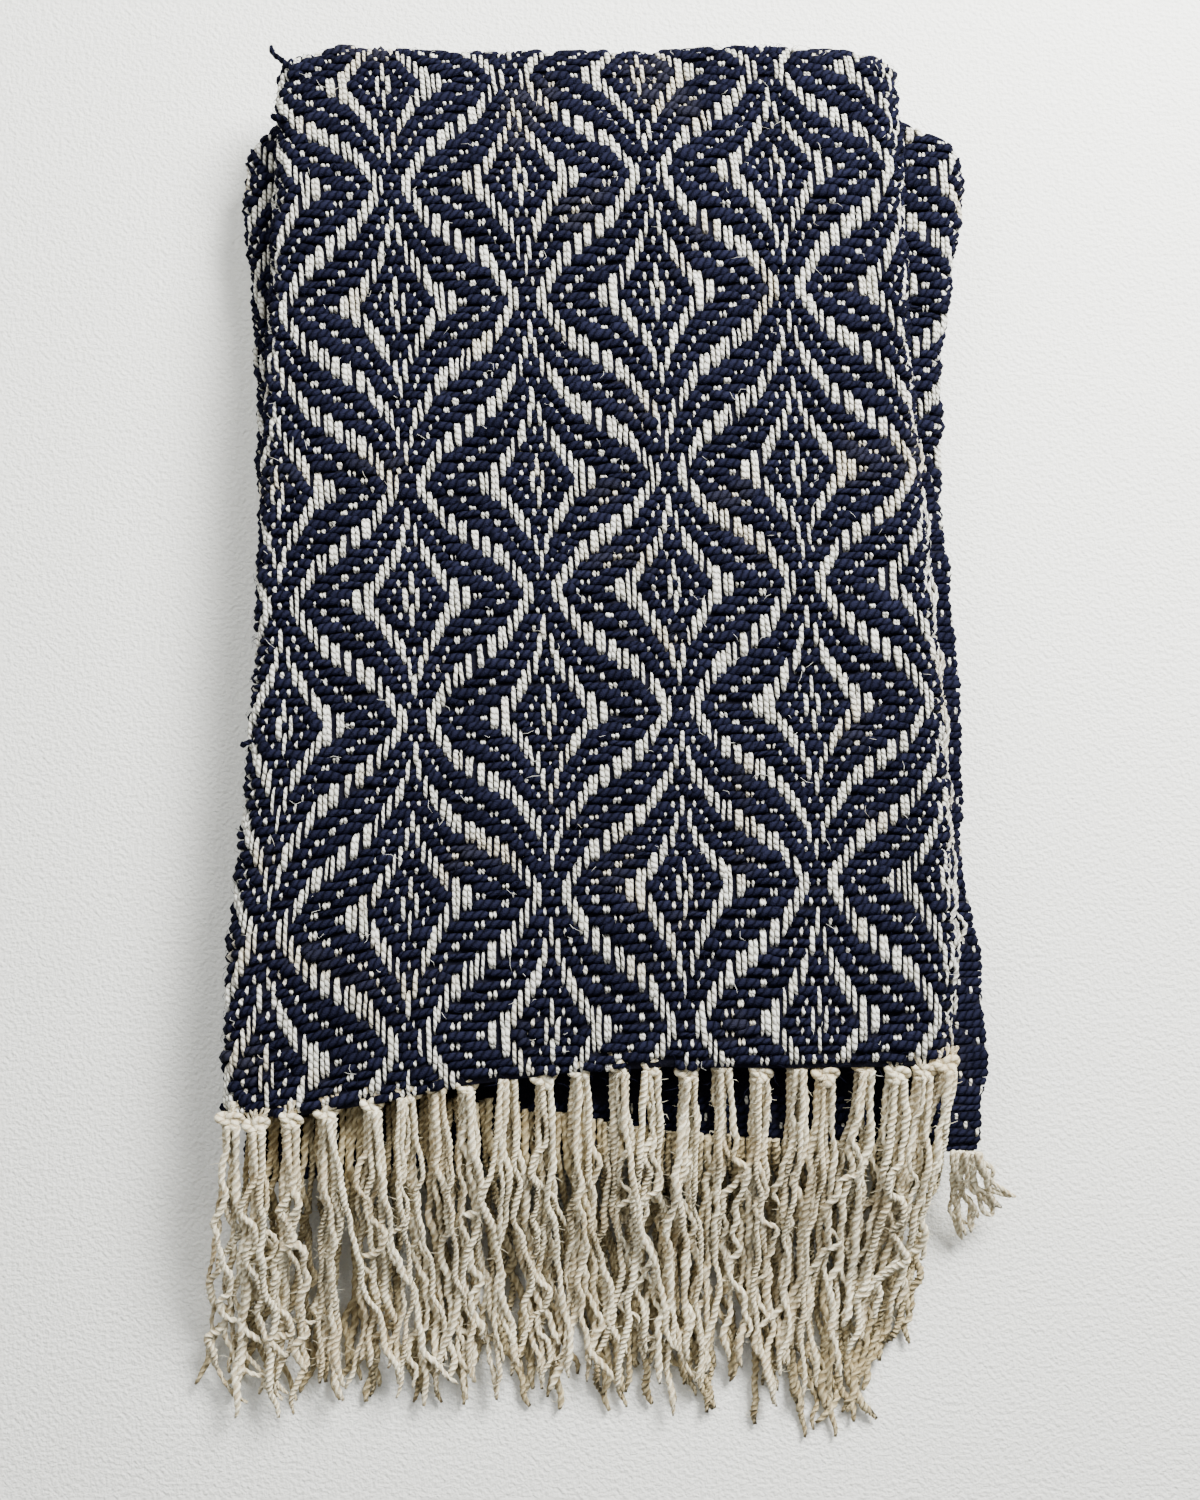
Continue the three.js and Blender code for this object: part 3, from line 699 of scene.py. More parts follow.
class Nodes:
    """Short way to lay out a material's nodes."""

    def __init__(self, name: str) -> None:
        """Starts a material with its shader."""
        self.material = bpy.data.materials.new(name)
        self.material.use_nodes = True
        self.tree = self.material.node_tree
        self.shader = self.tree.nodes["Principled BSDF"]

    def add(self, kind: str, inputs: dict | None = None, **settings) -> bpy.types.Node:
        """Adds a node; inputs are values or the sockets that feed them."""
        node = self.tree.nodes.new(kind)
        for key, value in settings.items():
            setattr(node, key, value)
        for key, value in (inputs or {}).items():
            self.feed(node.inputs[key], value)
        return node

    def feed(self, socket: bpy.types.NodeSocket, value) -> None:
        """Links a socket to another, or sets its value."""
        if isinstance(value, bpy.types.NodeSocket):
            self.tree.links.new(value, socket)
        else:
            socket.default_value = value

    def math(self, operation: str, a, b=0.0, clamp: bool = False) -> bpy.types.NodeSocket:
        """Result of a Math node."""
        return self.add("ShaderNodeMath", {0: a, 1: b}, operation=operation, use_clamp=clamp).outputs[0]

    def noise(self, scale: float, detail: float = 3.0, vector=None) -> bpy.types.NodeSocket:
        """Value of a noise texture on Object coordinates, or on a given vector."""
        where = vector or self.add("ShaderNodeTexCoord").outputs["Object"]
        return self.add("ShaderNodeTexNoise", {"Vector": where, "Scale": scale, "Detail": detail}).outputs[0]

    def mix(self, factor, a, b) -> bpy.types.NodeSocket:
        """Colour between two colours."""
        node = self.add("ShaderNodeMix", data_type="RGBA")
        self.feed(node.inputs[0], factor)
        self.feed(node.inputs[6], a)
        self.feed(node.inputs[7], b)
        return node.outputs[2]

    def bump(self, height, distance: float, normal=None) -> bpy.types.NodeSocket:
        """Normal with a height's relief, in millimetres."""
        relief = {"Height": height, "Strength": 1.0, "Distance": distance * MILLIMETRE}
        node = self.add("ShaderNodeBump", relief)
        if normal is not None:
            self.feed(node.inputs["Normal"], normal)
        return node.outputs[0]

    def surface(self, colour, normal, roughness: float, specular: float) -> bpy.types.Material:
        """The material, once its shader has colour, relief and gloss."""
        self.feed(self.shader.inputs["Base Color"], colour)
        self.feed(self.shader.inputs["Normal"], normal)
        self.shader.inputs["Roughness"].default_value = roughness
        self.shader.inputs["Specular IOR Level"].default_value = specular
        return self.material


@dataclass(frozen=True)
class YarnFinish:
    """Plied yarn: its colours, the twist of its plies, and its fuzz.

    Attributes:
        name: The material's name.
        dark: Colour of its darker yarns.
        light: Colour of its lighter yarns.
        groove_shade: Painted shade between the plies, the colour that the grooves between them are darkened
            to.
        twist: Length of one visible turn, in millimetres.
        slant: How steeply the plies wind.
        ply_depth: Depth of the grooves, in millimetres.
        fibre_depth: Depth of the fibres' relief, in millimetres.
        sheen: Weight of the soft sheen.
        stain: Colour of the stray darker yarns.
        stain_share: Share of them.
    """

    name: str
    dark: Colour
    light: Colour
    groove_shade: Colour
    twist: float
    slant: float
    ply_depth: float
    fibre_depth: float
    sheen: float
    stain: Colour
    stain_share: float = 0.12

    def material(self) -> bpy.types.Material:
        """Makes the material."""
        n = Nodes(self.name)
        yarn = n.add("ShaderNodeAttribute", attribute_name="yarn").outputs["Vector"]
        split = n.add("ShaderNodeSeparateXYZ", {0: yarn})
        along, around, tint = split.outputs
        phase = n.math("ADD", n.math("MULTIPLY", along, math.tau / self.twist),
                       n.math("MULTIPLY", around, self.slant))
        wobble = n.math("MULTIPLY", n.math("SUBTRACT", n.noise(420.0, 2.0), 0.5), 3.0)
        ply = n.math("ABSOLUTE", n.math("SINE", n.math("MULTIPLY", n.math("ADD", phase, wobble), 0.5)))
        fibres = n.noise(2300.0, 4.0)
        cloud = n.noise(55.0, 2.0)
        cloudy = n.math("SUBTRACT", n.math("MULTIPLY", cloud, 0.9), 0.3)
        shade = n.math("ADD", n.math("MULTIPLY", tint, 0.7), cloudy, clamp=True)
        colour = n.mix(shade, self.dark, self.light)
        threshold = 1 - 0.32 - self.stain_share
        stray = n.math("MULTIPLY", n.math("SUBTRACT", n.noise(38.0, 1.0), threshold), 9.0, clamp=True)
        colour = n.mix(n.math("MULTIPLY", stray, 0.6), colour, self.stain)
        speck = n.math("MULTIPLY", n.math("SUBTRACT", fibres, 0.5), 1.6)
        colour = n.mix(n.math("ADD", 0.15, speck, clamp=True), colour, self.light)
        # Painted shade: the grooves between the plies are darkened towards the groove colour, where shade
        # would fall.
        groove_shade_mask = n.math("MULTIPLY", n.math("SUBTRACT", 0.8, ply), 1.25, clamp=True)
        colour = n.mix(n.math("MULTIPLY", groove_shade_mask, 0.85), colour, self.groove_shade)
        normal = n.bump(fibres, self.fibre_depth, n.bump(ply, self.ply_depth))
        n.shader.inputs["Sheen Weight"].default_value = self.sheen
        n.shader.inputs["Sheen Roughness"].default_value = 0.6
        return n.surface(colour, normal, roughness=0.92, specular=0.03)


NAVY_WOOL = YarnFinish("navy_wool", (0.0021, 0.0024, 0.0068, 1), (0.0125, 0.0135, 0.031, 1),
                       (0.0006, 0.0006, 0.002, 1), 2.9, 1.1, 0.6, 0.5, 0.0, (0.028, 0.028, 0.038, 1), 0.06)
CREAM_WARP = YarnFinish("cream_warp", (0.5, 0.49, 0.41, 1), (0.85, 0.85, 0.78, 1), (0.17, 0.145, 0.1, 1),
                        2.3, 1.3, 0.45, 0.3, 0.05, (0.58, 0.48, 0.31, 1))
IVORY_FRINGE = YarnFinish("ivory_fringe", (0.44, 0.355, 0.205, 1), (0.95, 0.895, 0.68, 1),
                          (0.34, 0.25, 0.125, 1), 2.3, 1.3, 0.3, 0.35, 0.05, (0.5, 0.39, 0.21, 1))
# Painted shade: a darker copy of the ivory fringe, for the under fringe that lies lower, in the pile's shade.
PAINTED_SHADE_FRINGE = YarnFinish("painted_shade_fringe", (0.34, 0.265, 0.14, 1), (0.7, 0.61, 0.38, 1),
                           (0.2, 0.14, 0.06, 1), 2.3, 1.3, 0.3, 0.35, 0.05, (0.36, 0.28, 0.14, 1))


@dataclass(frozen=True)
class WebFinish:
    """Dark web under the yarns, with the weave's small relief."""

    name: str = "dark_web"
    colour: Colour = (0.002, 0.002, 0.008, 1)
    fleck: Colour = (0.015, 0.015, 0.02, 1)

    def material(self) -> bpy.types.Material:
        """Makes the material."""
        n = Nodes(self.name)
        grain = n.noise(700.0, 3.0)
        flecked = n.mix(n.math("POWER", grain, 3.0), self.colour, self.fleck)
        return n.surface(flecked, n.bump(grain, 0.6), roughness=0.95, specular=0.15)


@dataclass(frozen=True)
class FloorFinish:
    """Plain pale surface with a faint grain."""

    name: str = "pale_floor"
    colour: Colour = (0.89, 0.89, 0.83, 1)
    shade: Colour = (0.8, 0.8, 0.74, 1)

    def material(self) -> bpy.types.Material:
        """Makes the material."""
        n = Nodes(self.name)
        grain = n.noise(620.0, 4.0)
        colour = n.mix(grain, self.colour, self.shade)
        return n.surface(colour, n.bump(grain, 1.0), roughness=0.6, specular=0.3)


def lay_web(surface: FoldedSheet, u: np.ndarray, v: np.ndarray, name: str, node: str,
            finishes: Finishes) -> bpy.types.Object:
    """Makes the thin web under a stretch's yarns, over a grid of flat places."""
    web = MeshParts()
    web.add_faces(*closed_wall(*(surface.point(u, v, np.full(u.shape, depth)) for depth in WEB_DEPTHS)))
    return web.piece(name, finishes["web"], CLOTH_SLOT, node)


def weave(cloths: list[WovenCloth], yarns: tuple[Yarn, Yarn], finishes: Finishes, name: str, slot: str,
          node: str) -> Pieces:
    """Makes the weft piece and the warp piece of one or more stretches of cloth.

    Args:
        cloths: The stretches.
        yarns: Yarn of the weft and of the warp.
        finishes: Materials by name.
        name: Start of the pieces' names.
        slot: The record's material slot.
        node: CAD node that they stand for.

    Returns:
        The weft piece and the warp piece.
    """
    weft, warp = MeshParts(), MeshParts()
    for cloth in cloths:
        cloth.build(System.WEFT, yarns[0], weft)
        cloth.build(System.WARP, yarns[1], warp)
    return [weft.piece(f"{name}_weft", finishes["wool"], slot, node),
            warp.piece(f"{name}_warp", finishes["warp"], slot, node)]


def upper_stretch(finishes: Finishes) -> Pieces:
    """Builds the top stretch of cloth: web, weft and warp."""
    rolled = 10
    across = np.concatenate([np.linspace(-1, 0, rolled)[:-1], np.linspace(0, 1, 60),
                             np.linspace(1, 2, rolled)[1:]])[None, :]
    upward = np.concatenate([np.linspace(0, 1, 80), np.linspace(1, 2, rolled)[1:]])[:, None]
    share = np.clip(upward, 0, 1)
    middle_end = float(UPPER_END.read("y", 0.0))
    middle_fold = float(UPPER_FOLD.read("y", 0.0)) - UPPER.roll
    level = middle_end + (middle_fold - middle_end) * share
    left = UPPER_SIDES.read("left", level) + UPPER.roll
    right = UPPER_SIDES.read("right", level) - UPPER.roll
    u = left + (right - left) * np.clip(across, 0, 1)
    u = u + UPPER.arc * (np.minimum(across, 0) + np.maximum(across - 1, 0))
    end = UPPER_END.read("y", u)
    fold = UPPER_FOLD.read("y", np.clip(u, left, right)) - UPPER.roll
    v = end + (fold - end) * share + UPPER.arc * np.maximum(upward - 1, 0)
    cloth = WovenCloth(UPPER, UpperLattice(), OgeeTwill(), ends=(-84, 60), picks=(-8, 120), seed=7,
                       cut_end=UPPER_END)
    return [lay_web(UPPER, u, v, "upper_web", "upper_cloth", finishes),
            *weave([cloth], (WEFT, WARP), finishes, "upper", CLOTH_SLOT, "upper_cloth")]


def lower_stretch(finishes: Finishes) -> Pieces:
    """Builds the next stretch, which shows as rolled folds at the sides and the top fold."""
    places = rim(LOWER)
    steps = np.concatenate([[-LOWER_TUCK, -LOWER_TUCK / 2], np.linspace(0, LOWER.arc, 12)])[:, None]
    tucked = steps < 0
    u = places["u"] + np.where(tucked, np.sign(places["out_u"]), places["out_u"]) * steps
    v = places["v"] + np.where(tucked, np.sign(np.round(places["out_v"], 3)), places["out_v"]) * steps
    cloth = WovenCloth(LOWER, PlainLattice(u0=3, v0=250, lean=0.01), OgeeTwill(), ends=(-80, 80),
                       picks=(-6, 140), seed=11, from_edge=LOWER_TUCK, cut_end=LOWER_END)
    return [lay_web(LOWER, u, v, "lower_web", "lower_cloth", finishes),
            *weave([cloth], (WEFT, WARP), finishes, "lower", CLOTH_SLOT, "lower_cloth")]


@dataclass(frozen=True)
class UnderCloth:
    """The under cloth: its navy selvedge on the right and its cut end under the fringe.

    Attributes:
        places: Places of the web along the selvedge, and along the cut end.
        margin: Distance from the web's rim to the outline.
        hidden_u: Place across where the web ends under the other layers.
        hidden_v: Place along where it ends.
        shown_u: Yarn right of this is made.
        shown_v: Yarn nearer than this is made.
        web_depth: Depth of the web's face.
        web_thickness: The web's thickness.
    """

    places: int = 90
    margin: float = 1.2
    hidden_u: float = 108
    hidden_v: float = -103
    shown_u: float = 109
    shown_v: float = -126
    web_depth: float = 0.9
    web_thickness: float = 1.5

    def build(self, finishes: Finishes) -> Pieces:
        """Builds the web and its yarns."""
        side_v = np.linspace(96, -152, self.places)
        side_u = UNDER.sides.read("right", side_v) - self.margin
        end_u = np.linspace(125, -127, self.places)
        end_v = UNDER_END.read("y", end_u) + self.margin
        outer = np.stack([np.append(side_u, end_u), np.append(side_v, end_v)])
        inner = np.stack([np.append(np.full(self.places, self.hidden_u), np.minimum(end_u, self.hidden_u)),
                          np.append(np.maximum(side_v, self.hidden_v), np.full(self.places, self.hidden_v))])
        share = np.linspace(0, 1, 8)[:, None]
        u, v = ((rim_line * (1 - share) + inner_line * share)[:, ::-1]
                for rim_line, inner_line in zip(outer, inner))
        face = UNDER.point(u, v, np.full(u.shape, self.web_depth))
        web = MeshParts()
        web.add_faces(*closed_wall(face, face - np.array([0, 0, self.web_thickness])))
        ground = web.piece("under_web", finishes["web"], SELVEDGE_SLOT, "under_cloth")
        lattice = PlainLattice(u0=0.4, v0=100, lean=0.0)
        ends, picks = (-66, 70), (0, 92)
        cloth = WovenCloth(UNDER, lattice, SelvedgeDraft(), ends=ends, picks=picks, seed=5, from_edge=17)
        all_u, all_v = lattice.place(*np.meshgrid(np.arange(ends[0], ends[1] + 1.0),
                                                  np.arange(picks[0], picks[1] + 1.0)))
        cloth.shown &= (all_u > self.shown_u) | (all_v < self.shown_v)
        yarns = (Yarn(1.62, 1.15, 1.0, 1.9, WEFT.angles, unevenness=0.16, wander=0.3),
                 Yarn(0.8, 0.7, 0.75, 1.7, WARP.angles))
        return [ground, *weave([cloth], yarns, finishes, "under", SELVEDGE_SLOT, "under_cloth")]


@dataclass(frozen=True)
class HiddenStack:
    """The hidden layers: one rounded body whose lower layers show their woven folded edges.

    Attributes:
        bulge_steps: Rings round the edge of each layer that shows.
        bulge_angle: How far round its edge each layer is followed, in radians.
        cut_points: Places along the cut end, with both its corners.
        inside: Distance from the outline to the body's widest rings.
        body: Height and distance inside the outline of the rings above the layers.
        foot: The same for the last ring.
        upper_body: The same for the body under the top stretch.
    """

    bulge_steps: int = 7
    bulge_angle: float = 1.45
    cut_points: int = 40
    inside: float = 0.7 + 1.6
    body: tuple[tuple[float, float], ...] = ((25.0, 12.0), (24.4, 7.0), (20.0, 3.2), (17.0, 3.6))
    foot: tuple[float, float] = (0.0, 4.2)
    upper_body: tuple[tuple[float, float], ...] = ((42.3, 10), (40, 5.5), (36, 4), (32.2, 6))

    def ring(self, surface: FoldedSheet, height: float, inside: float, end: Table) -> np.ndarray:
        """Ring round a group of folds, inside its outline, closed along the cut end."""
        places = rim(surface, side=70, corner=8, far=50)
        u = places["u"] + places["out_u"] * (surface.roll - inside)
        v = places["v"] + places["out_v"] * (surface.roll - inside)
        u = np.append(u, np.linspace(u[-1], u[0], self.cut_points)[1:-1])
        v = np.append(v, np.full(self.cut_points - 2, -np.inf))
        v = np.maximum(v, end.read("y", u) + max(inside, LAYER_INSET))
        return np.column_stack([u, v, height * SLUMP.at(u, v)])

    def stack(self, parts: MeshParts, rings: list[np.ndarray]) -> None:
        """Adds a closed body between rings from the top down."""
        points = np.concatenate([*rings, rings[0].mean(axis=0)[None], rings[-1].mean(axis=0)[None]])
        index = np.arange(len(points) - 2).reshape(len(rings), -1)
        after = np.roll(index, -1, axis=1)
        faces = np.stack([index[:-1], after[:-1], after[1:], index[1:]], axis=-1).reshape(-1, 4).tolist()
        top, bottom = len(points) - 2, len(points) - 1
        faces += [[int(a), top, int(b)] for a, b in zip(index[0], after[0])]
        faces += [[int(b), bottom, int(a)] for a, b in zip(index[-1], after[-1])]
        parts.add_faces(points, faces)

    def build(self, finishes: Finishes) -> Pieces:
        """Builds the body and the yarns of its layers' edges."""
        profile = list(self.body)
        for top in LAYER_TOPS:
            for angle in np.linspace(-self.bulge_angle, self.bulge_angle, self.bulge_steps):
                profile.append((top - LAYER_ROLL - (LAYER_ROLL - 0.05) * math.sin(angle),
                                self.inside + (LAYER_ROLL - 1) * (1 - math.cos(angle))))
        profile.append(self.foot)
        parts = MeshParts()
        self.stack(parts, [self.ring(LOWER, *place, LOWER_END) for place in profile])
        self.stack(parts, [self.ring(UPPER, *place, UPPER_END) for place in self.upper_body])
        solid = parts.piece("hidden_stack", finishes["web"], CLOTH_SLOT, "hidden_layers")
        cloths = []
        for n, top in enumerate(LAYER_TOPS):
            surface = FoldedSheet(LOWER_SIDES, LOWER_FOLD, None, top=top, roll=LAYER_ROLL, turn=176,
                                  inset=LAYER_INSET)
            lattice = PlainLattice(u0=3 + 5 * n, v0=250 - 9 * n, lean=0.01 * n)
            cloths.append(WovenCloth(surface, lattice, OgeeTwill(), ends=(-80, 80), picks=(-6, 140),
                                     seed=20 + n, from_edge=0.5, cut_end=LOWER_END, steps=1))
        yarns = (Yarn(1.4, 0.75, 0.7, 1.9, WARP.angles), Yarn(0.9, 0.6, 0.6, 1.9, WARP.angles))
        return [solid, *weave(cloths, yarns, finishes, "layer", CLOTH_SLOT, "hidden_layers")]


@dataclass
class Strand:
    """One strand of fringe.

    Attributes:
        x: Place across of its root.
        y: Place along of its root.
        reach: How far it reaches.
        drift: How far it drifts to the right.
        level: Its height over the fall.
        fall: Height against the distance past the root.
        radius: Its radius.
        kink: Size of its waves.
        curl: How far its last part turns, in radians.
        rise: How far its middle stands up.
        tint: Its shade, from dark to light.
    """

    x: float
    y: float
    reach: float
    drift: float
    level: float
    fall: Table
    radius: float
    kink: float
    curl: float = 0.0
    rise: float = 0.0
    tint: float = 0.5


@dataclass
class StrandMaker:
    """Sweeps two-ply strands along their wavy routes.

    Attributes:
        step: Distance between rings.
        turn: Length of one whole twist of the plies.
        floor: Lowest height of a strand's middle.
        slack: Length of a strand for each millimetre of its reach.
        waves: Length and size of the waves that a strand bends in.
        bob: Height of its waves up and down.
        curled_from: Share of its length where the curl starts.
        tip: Share of its length where the tip starts to narrow.
        section: Corners of the two plies' section, for a radius of 1.
        waist: Twist's place at each corner; the grooves lie at the waist.
    """

    seed: int
    step: float = 1.1
    turn: float = 5.2
    floor: float = 1.3
    slack: float = 1.06
    waves: tuple[tuple[float, float], ...] = ((10, 0.16), (18, 0.22), (31, 0.2), (60, 0.13))
    bob: float = 0.8
    curled_from: float = 0.66
    tip: float = 0.94
    section: tuple[tuple[float, float], ...] = ((1, 0), (0.5, 0.62), (-0.5, 0.62), (-1, 0), (-0.5, -0.62),
                                                (0.5, -0.62))
    waist: tuple[float, ...] = (2.4, 0.35, 0.35, 2.4, 0.35, 0.35)

    def __post_init__(self) -> None:
        """Seeds the waves."""
        self.rng = np.random.default_rng(self.seed)
        self.laid: list[np.ndarray] = []

    def route(self, strand: Strand) -> np.ndarray:
        """Points along a strand."""
        rng = self.rng
        length = strand.reach * self.slack
        count = max(int(length / self.step), 8)
        s = np.linspace(0, 1, count)
        far = s * length
        grow = np.clip(s * 3, 0, 1)
        heading = 1.4 * strand.drift / strand.reach * s**0.5
        for wave, size in self.waves:
            phase = far * math.tau / (wave * rng.uniform(0.8, 1.25)) + rng.uniform(0, math.tau)
            heading = heading + strand.kink * size * grow * np.sin(phase)
        bend = np.clip((s - self.curled_from) / (1 - self.curled_from), 0, 1)
        heading = heading + strand.curl * bend**1.2
        d = length / (count - 1)
        x = strand.x + np.concatenate([[0], np.cumsum(np.sin(heading[1:]) * d)])
        y = strand.y - np.concatenate([[0], np.cumsum(np.cos(heading[1:]) * d)])
        past = np.clip(strand.y - y, 0, None)
        z = strand.fall.read("z", past) + strand.level * (1 - 0.2 * s)
        z = z + self.bob * grow * np.sin(far * math.tau / rng.uniform(16, 30) + rng.uniform(0, math.tau))
        z = z + strand.rise * np.sin(math.pi * s) ** 2
        kernel = np.hanning(13)
        kernel /= kernel.sum()
        padded = np.concatenate([np.full(6, z[0]), z, np.full(6, z[-1])])
        z = np.convolve(padded, kernel, mode="valid")
        return np.column_stack([x, y, np.maximum(z, self.floor)])

    def lay(self, line: np.ndarray | tuple, radius: float, parts: MeshParts) -> None:
        """Adds a loose end of yarn along a few points."""
        corners = np.array(line, dtype=float)
        steps = np.linalg.norm(np.diff(corners, axis=0), axis=1)
        far = np.concatenate([[0], np.cumsum(steps)])
        at = np.linspace(0, far[-1], max(int(far[-1] / self.step), 8))
        route = np.column_stack([np.interp(at, far, corners[:, n]) for n in range(3)])
        for _ in range(6):
            route[1:-1] = (route[:-2] + 2 * route[1:-1] + route[2:]) / 4
        self.wrap(route, radius, parts)

    def sweep(self, strand: Strand, parts: MeshParts) -> None:
        """Adds one strand as a closed tube."""
        self.wrap(self.route(strand), strand.radius, parts, strand.tint)

    def wrap(self, route: np.ndarray, thickness: float, parts: MeshParts, shade: float = 0.5) -> None:
        """Adds a two-ply tube round a route."""
        self.laid.append(route)
        tangent = np.gradient(route, axis=0)
        tangent /= np.linalg.norm(tangent, axis=1)[:, None]
        aside = np.cross(np.array([0.0, 0.0, 1.0]), tangent)
        aside /= np.linalg.norm(aside, axis=1)[:, None]
        above = np.cross(tangent, aside)
        far = np.concatenate([[0], np.cumsum(np.linalg.norm(np.diff(route, axis=0), axis=1))])
        turn = self.turn * self.rng.uniform(0.75, 1.5) * (1 + 0.15 * np.sin(far / self.rng.uniform(5, 12)))
        angle = np.cumsum(np.gradient(far) / turn) * math.tau + self.rng.uniform(0, math.tau)
        share = far / far[-1]
        taper = 1 - 0.55 * np.clip((share - self.tip) / (1 - self.tip), 0, 1) ** 2
        uneven = 1 + 0.14 * np.sin(far / self.rng.uniform(3, 6) + self.rng.uniform(0, 6))
        radius = thickness * taper * uneven
        sides = len(self.section)
        flat = np.array(self.section)
        cos, sin = np.cos(angle)[:, None], np.sin(angle)[:, None]
        a = radius[:, None] * (cos * flat[:, 0] - sin * flat[:, 1])
        b = radius[:, None] * (sin * flat[:, 0] + cos * flat[:, 1])
        points = route[:, None] + aside[:, None] * a[..., None] + above[:, None] * b[..., None]
        tint = np.full((len(far), sides), shade + self.rng.uniform(-0.3, 0.3))
        places = np.stack([np.zeros((len(far), sides)), np.tile(self.waist, (len(far), 1)), tint], axis=-1)
        parts.add_tubes(points[None], places[None])


@dataclass
class Knots:
    """The knots along the cut end, each an overhand loop round a core, with the warps that run into it.

    Attributes:
        half_width: Half a knot's width.
        half_length: Half its length.
        half_height: Half its height.
        strand: Radius of the loop's strand, for a knot one unit wide each way.
        rings: Steps round the loop.
        sides: Sides of the loop's strand.
        level: Height of a knot's middle.
        warps: Warps that run into each knot.
        warp_spacing: Distance between them.
        warp_length: How far they reach.
        first_warp: No warp lies left of this.
        twists: Length of yarn that the loop's twist is told of.
    """

    half_width: float = 3.75
    half_length: float = 3.0
    half_height: float = 3.2
    strand: float = 0.4
    rings: int = 48
    sides: int = 8
    level: float = 40.3
    warps: int = 5
    warp_spacing: float = 1.9
    warp_length: float = 5.5
    first_warp: float = -130.5
    twists: float = 34

    def core(self) -> tuple[np.ndarray, list[list[int]]]:
        """Rounded middle of a knot, one unit wide each way: points and faces.

        The faces come in another order each time that the sphere is made, so they are sorted.
        """
        bpy.ops.mesh.primitive_uv_sphere_add(segments=14, ring_count=8, radius=1.0)
        ball = bpy.context.active_object
        ball.scale = (0.8, 0.8, 0.5)
        bpy.ops.object.transform_apply(location=True, rotation=True, scale=True)
        points = np.array([vertex.co[:] for vertex in ball.data.vertices])
        faces = sorted((list(polygon.vertices) for polygon in ball.data.polygons), key=sorted)
        bpy.data.objects.remove(ball, do_unlink=True)
        return points, faces

    def loop(self) -> np.ndarray:
        """Overhand knot's strand by ring and side: a flattened trefoil."""
        t = np.linspace(0, math.tau, self.rings + 1)
        line = np.column_stack([np.sin(t) + 2 * np.sin(2 * t), np.cos(t) - 2 * np.cos(2 * t), -np.sin(3 * t)])
        line *= np.array([0.333, 0.333, 0.33])
        tangent = np.column_stack([np.cos(t) + 4 * np.cos(2 * t), -np.sin(t) + 4 * np.sin(2 * t),
                                   -3 * np.cos(3 * t)])
        tangent /= np.linalg.norm(tangent, axis=1)[:, None]
        aside = np.cross(np.array([0.0, 0.0, 1.0]), tangent)
        aside /= np.linalg.norm(aside, axis=1)[:, None]
        above = np.cross(tangent, aside)
        turn = np.linspace(0, math.tau, self.sides, endpoint=False)
        return line[:, None] + self.strand * (aside[:, None] * np.cos(turn)[:, None]
                                              + above[:, None] * np.sin(turn)[:, None])

    def build(self, finishes: Finishes) -> bpy.types.Object:
        """Builds all knots as one piece."""
        rng = np.random.default_rng(31)
        ball, faces = self.core()
        loop = self.loop()
        parts = MeshParts()
        maker = StrandMaker(seed=33, step=0.9)
        flat = Table("past", {"past": (0, 1, 5), "z": (41.6, 42.2, 40.4)})
        run = np.repeat(np.linspace(0, self.twists, self.rings + 1)[:, None], self.sides, 1)
        around = np.tile(np.linspace(0, math.tau, self.sides, endpoint=False), (self.rings + 1, 1))
        for x, y in zip(KNOTS.columns["x"], KNOTS.columns["y"]):
            size = np.array([self.half_width, self.half_length, self.half_height])
            size = size * rng.uniform(0.88, 1.14, 3)
            lean = rng.uniform(-0.5, 0.5)
            cos, sin = math.cos(lean), math.sin(lean)
            turn = np.array([[cos, sin, 0], [-sin, cos, 0], [0, 0, 1]])
            place = np.array([x, y, self.level + rng.uniform(-0.4, 0.4)])
            tint = rng.uniform(0.4, 0.95)
            parts.add_faces(ball * size @ turn + place, faces, tint)
            tints = np.full(run.shape, tint)
            parts.add_tubes((loop * size @ turn + place)[None], np.stack([run, around, tints], axis=-1)[None])
            for n in range(self.warps):
                aside = n - self.warps // 2
                start = max(x + aside * self.warp_spacing + rng.uniform(-0.3, 0.3), self.first_warp)
                top = y + 6.4 + rng.uniform(-0.4, 0.6)
                drift = (x - start) * 0.62
                level = rng.uniform(-0.4, 0.3)
                maker.sweep(Strand(start, top, self.warp_length, drift, level, flat, 0.9, 0.2), parts)
        return parts.piece("fringe_knots", finishes["fringe"], FRINGE_SLOT, "upper_fringe")


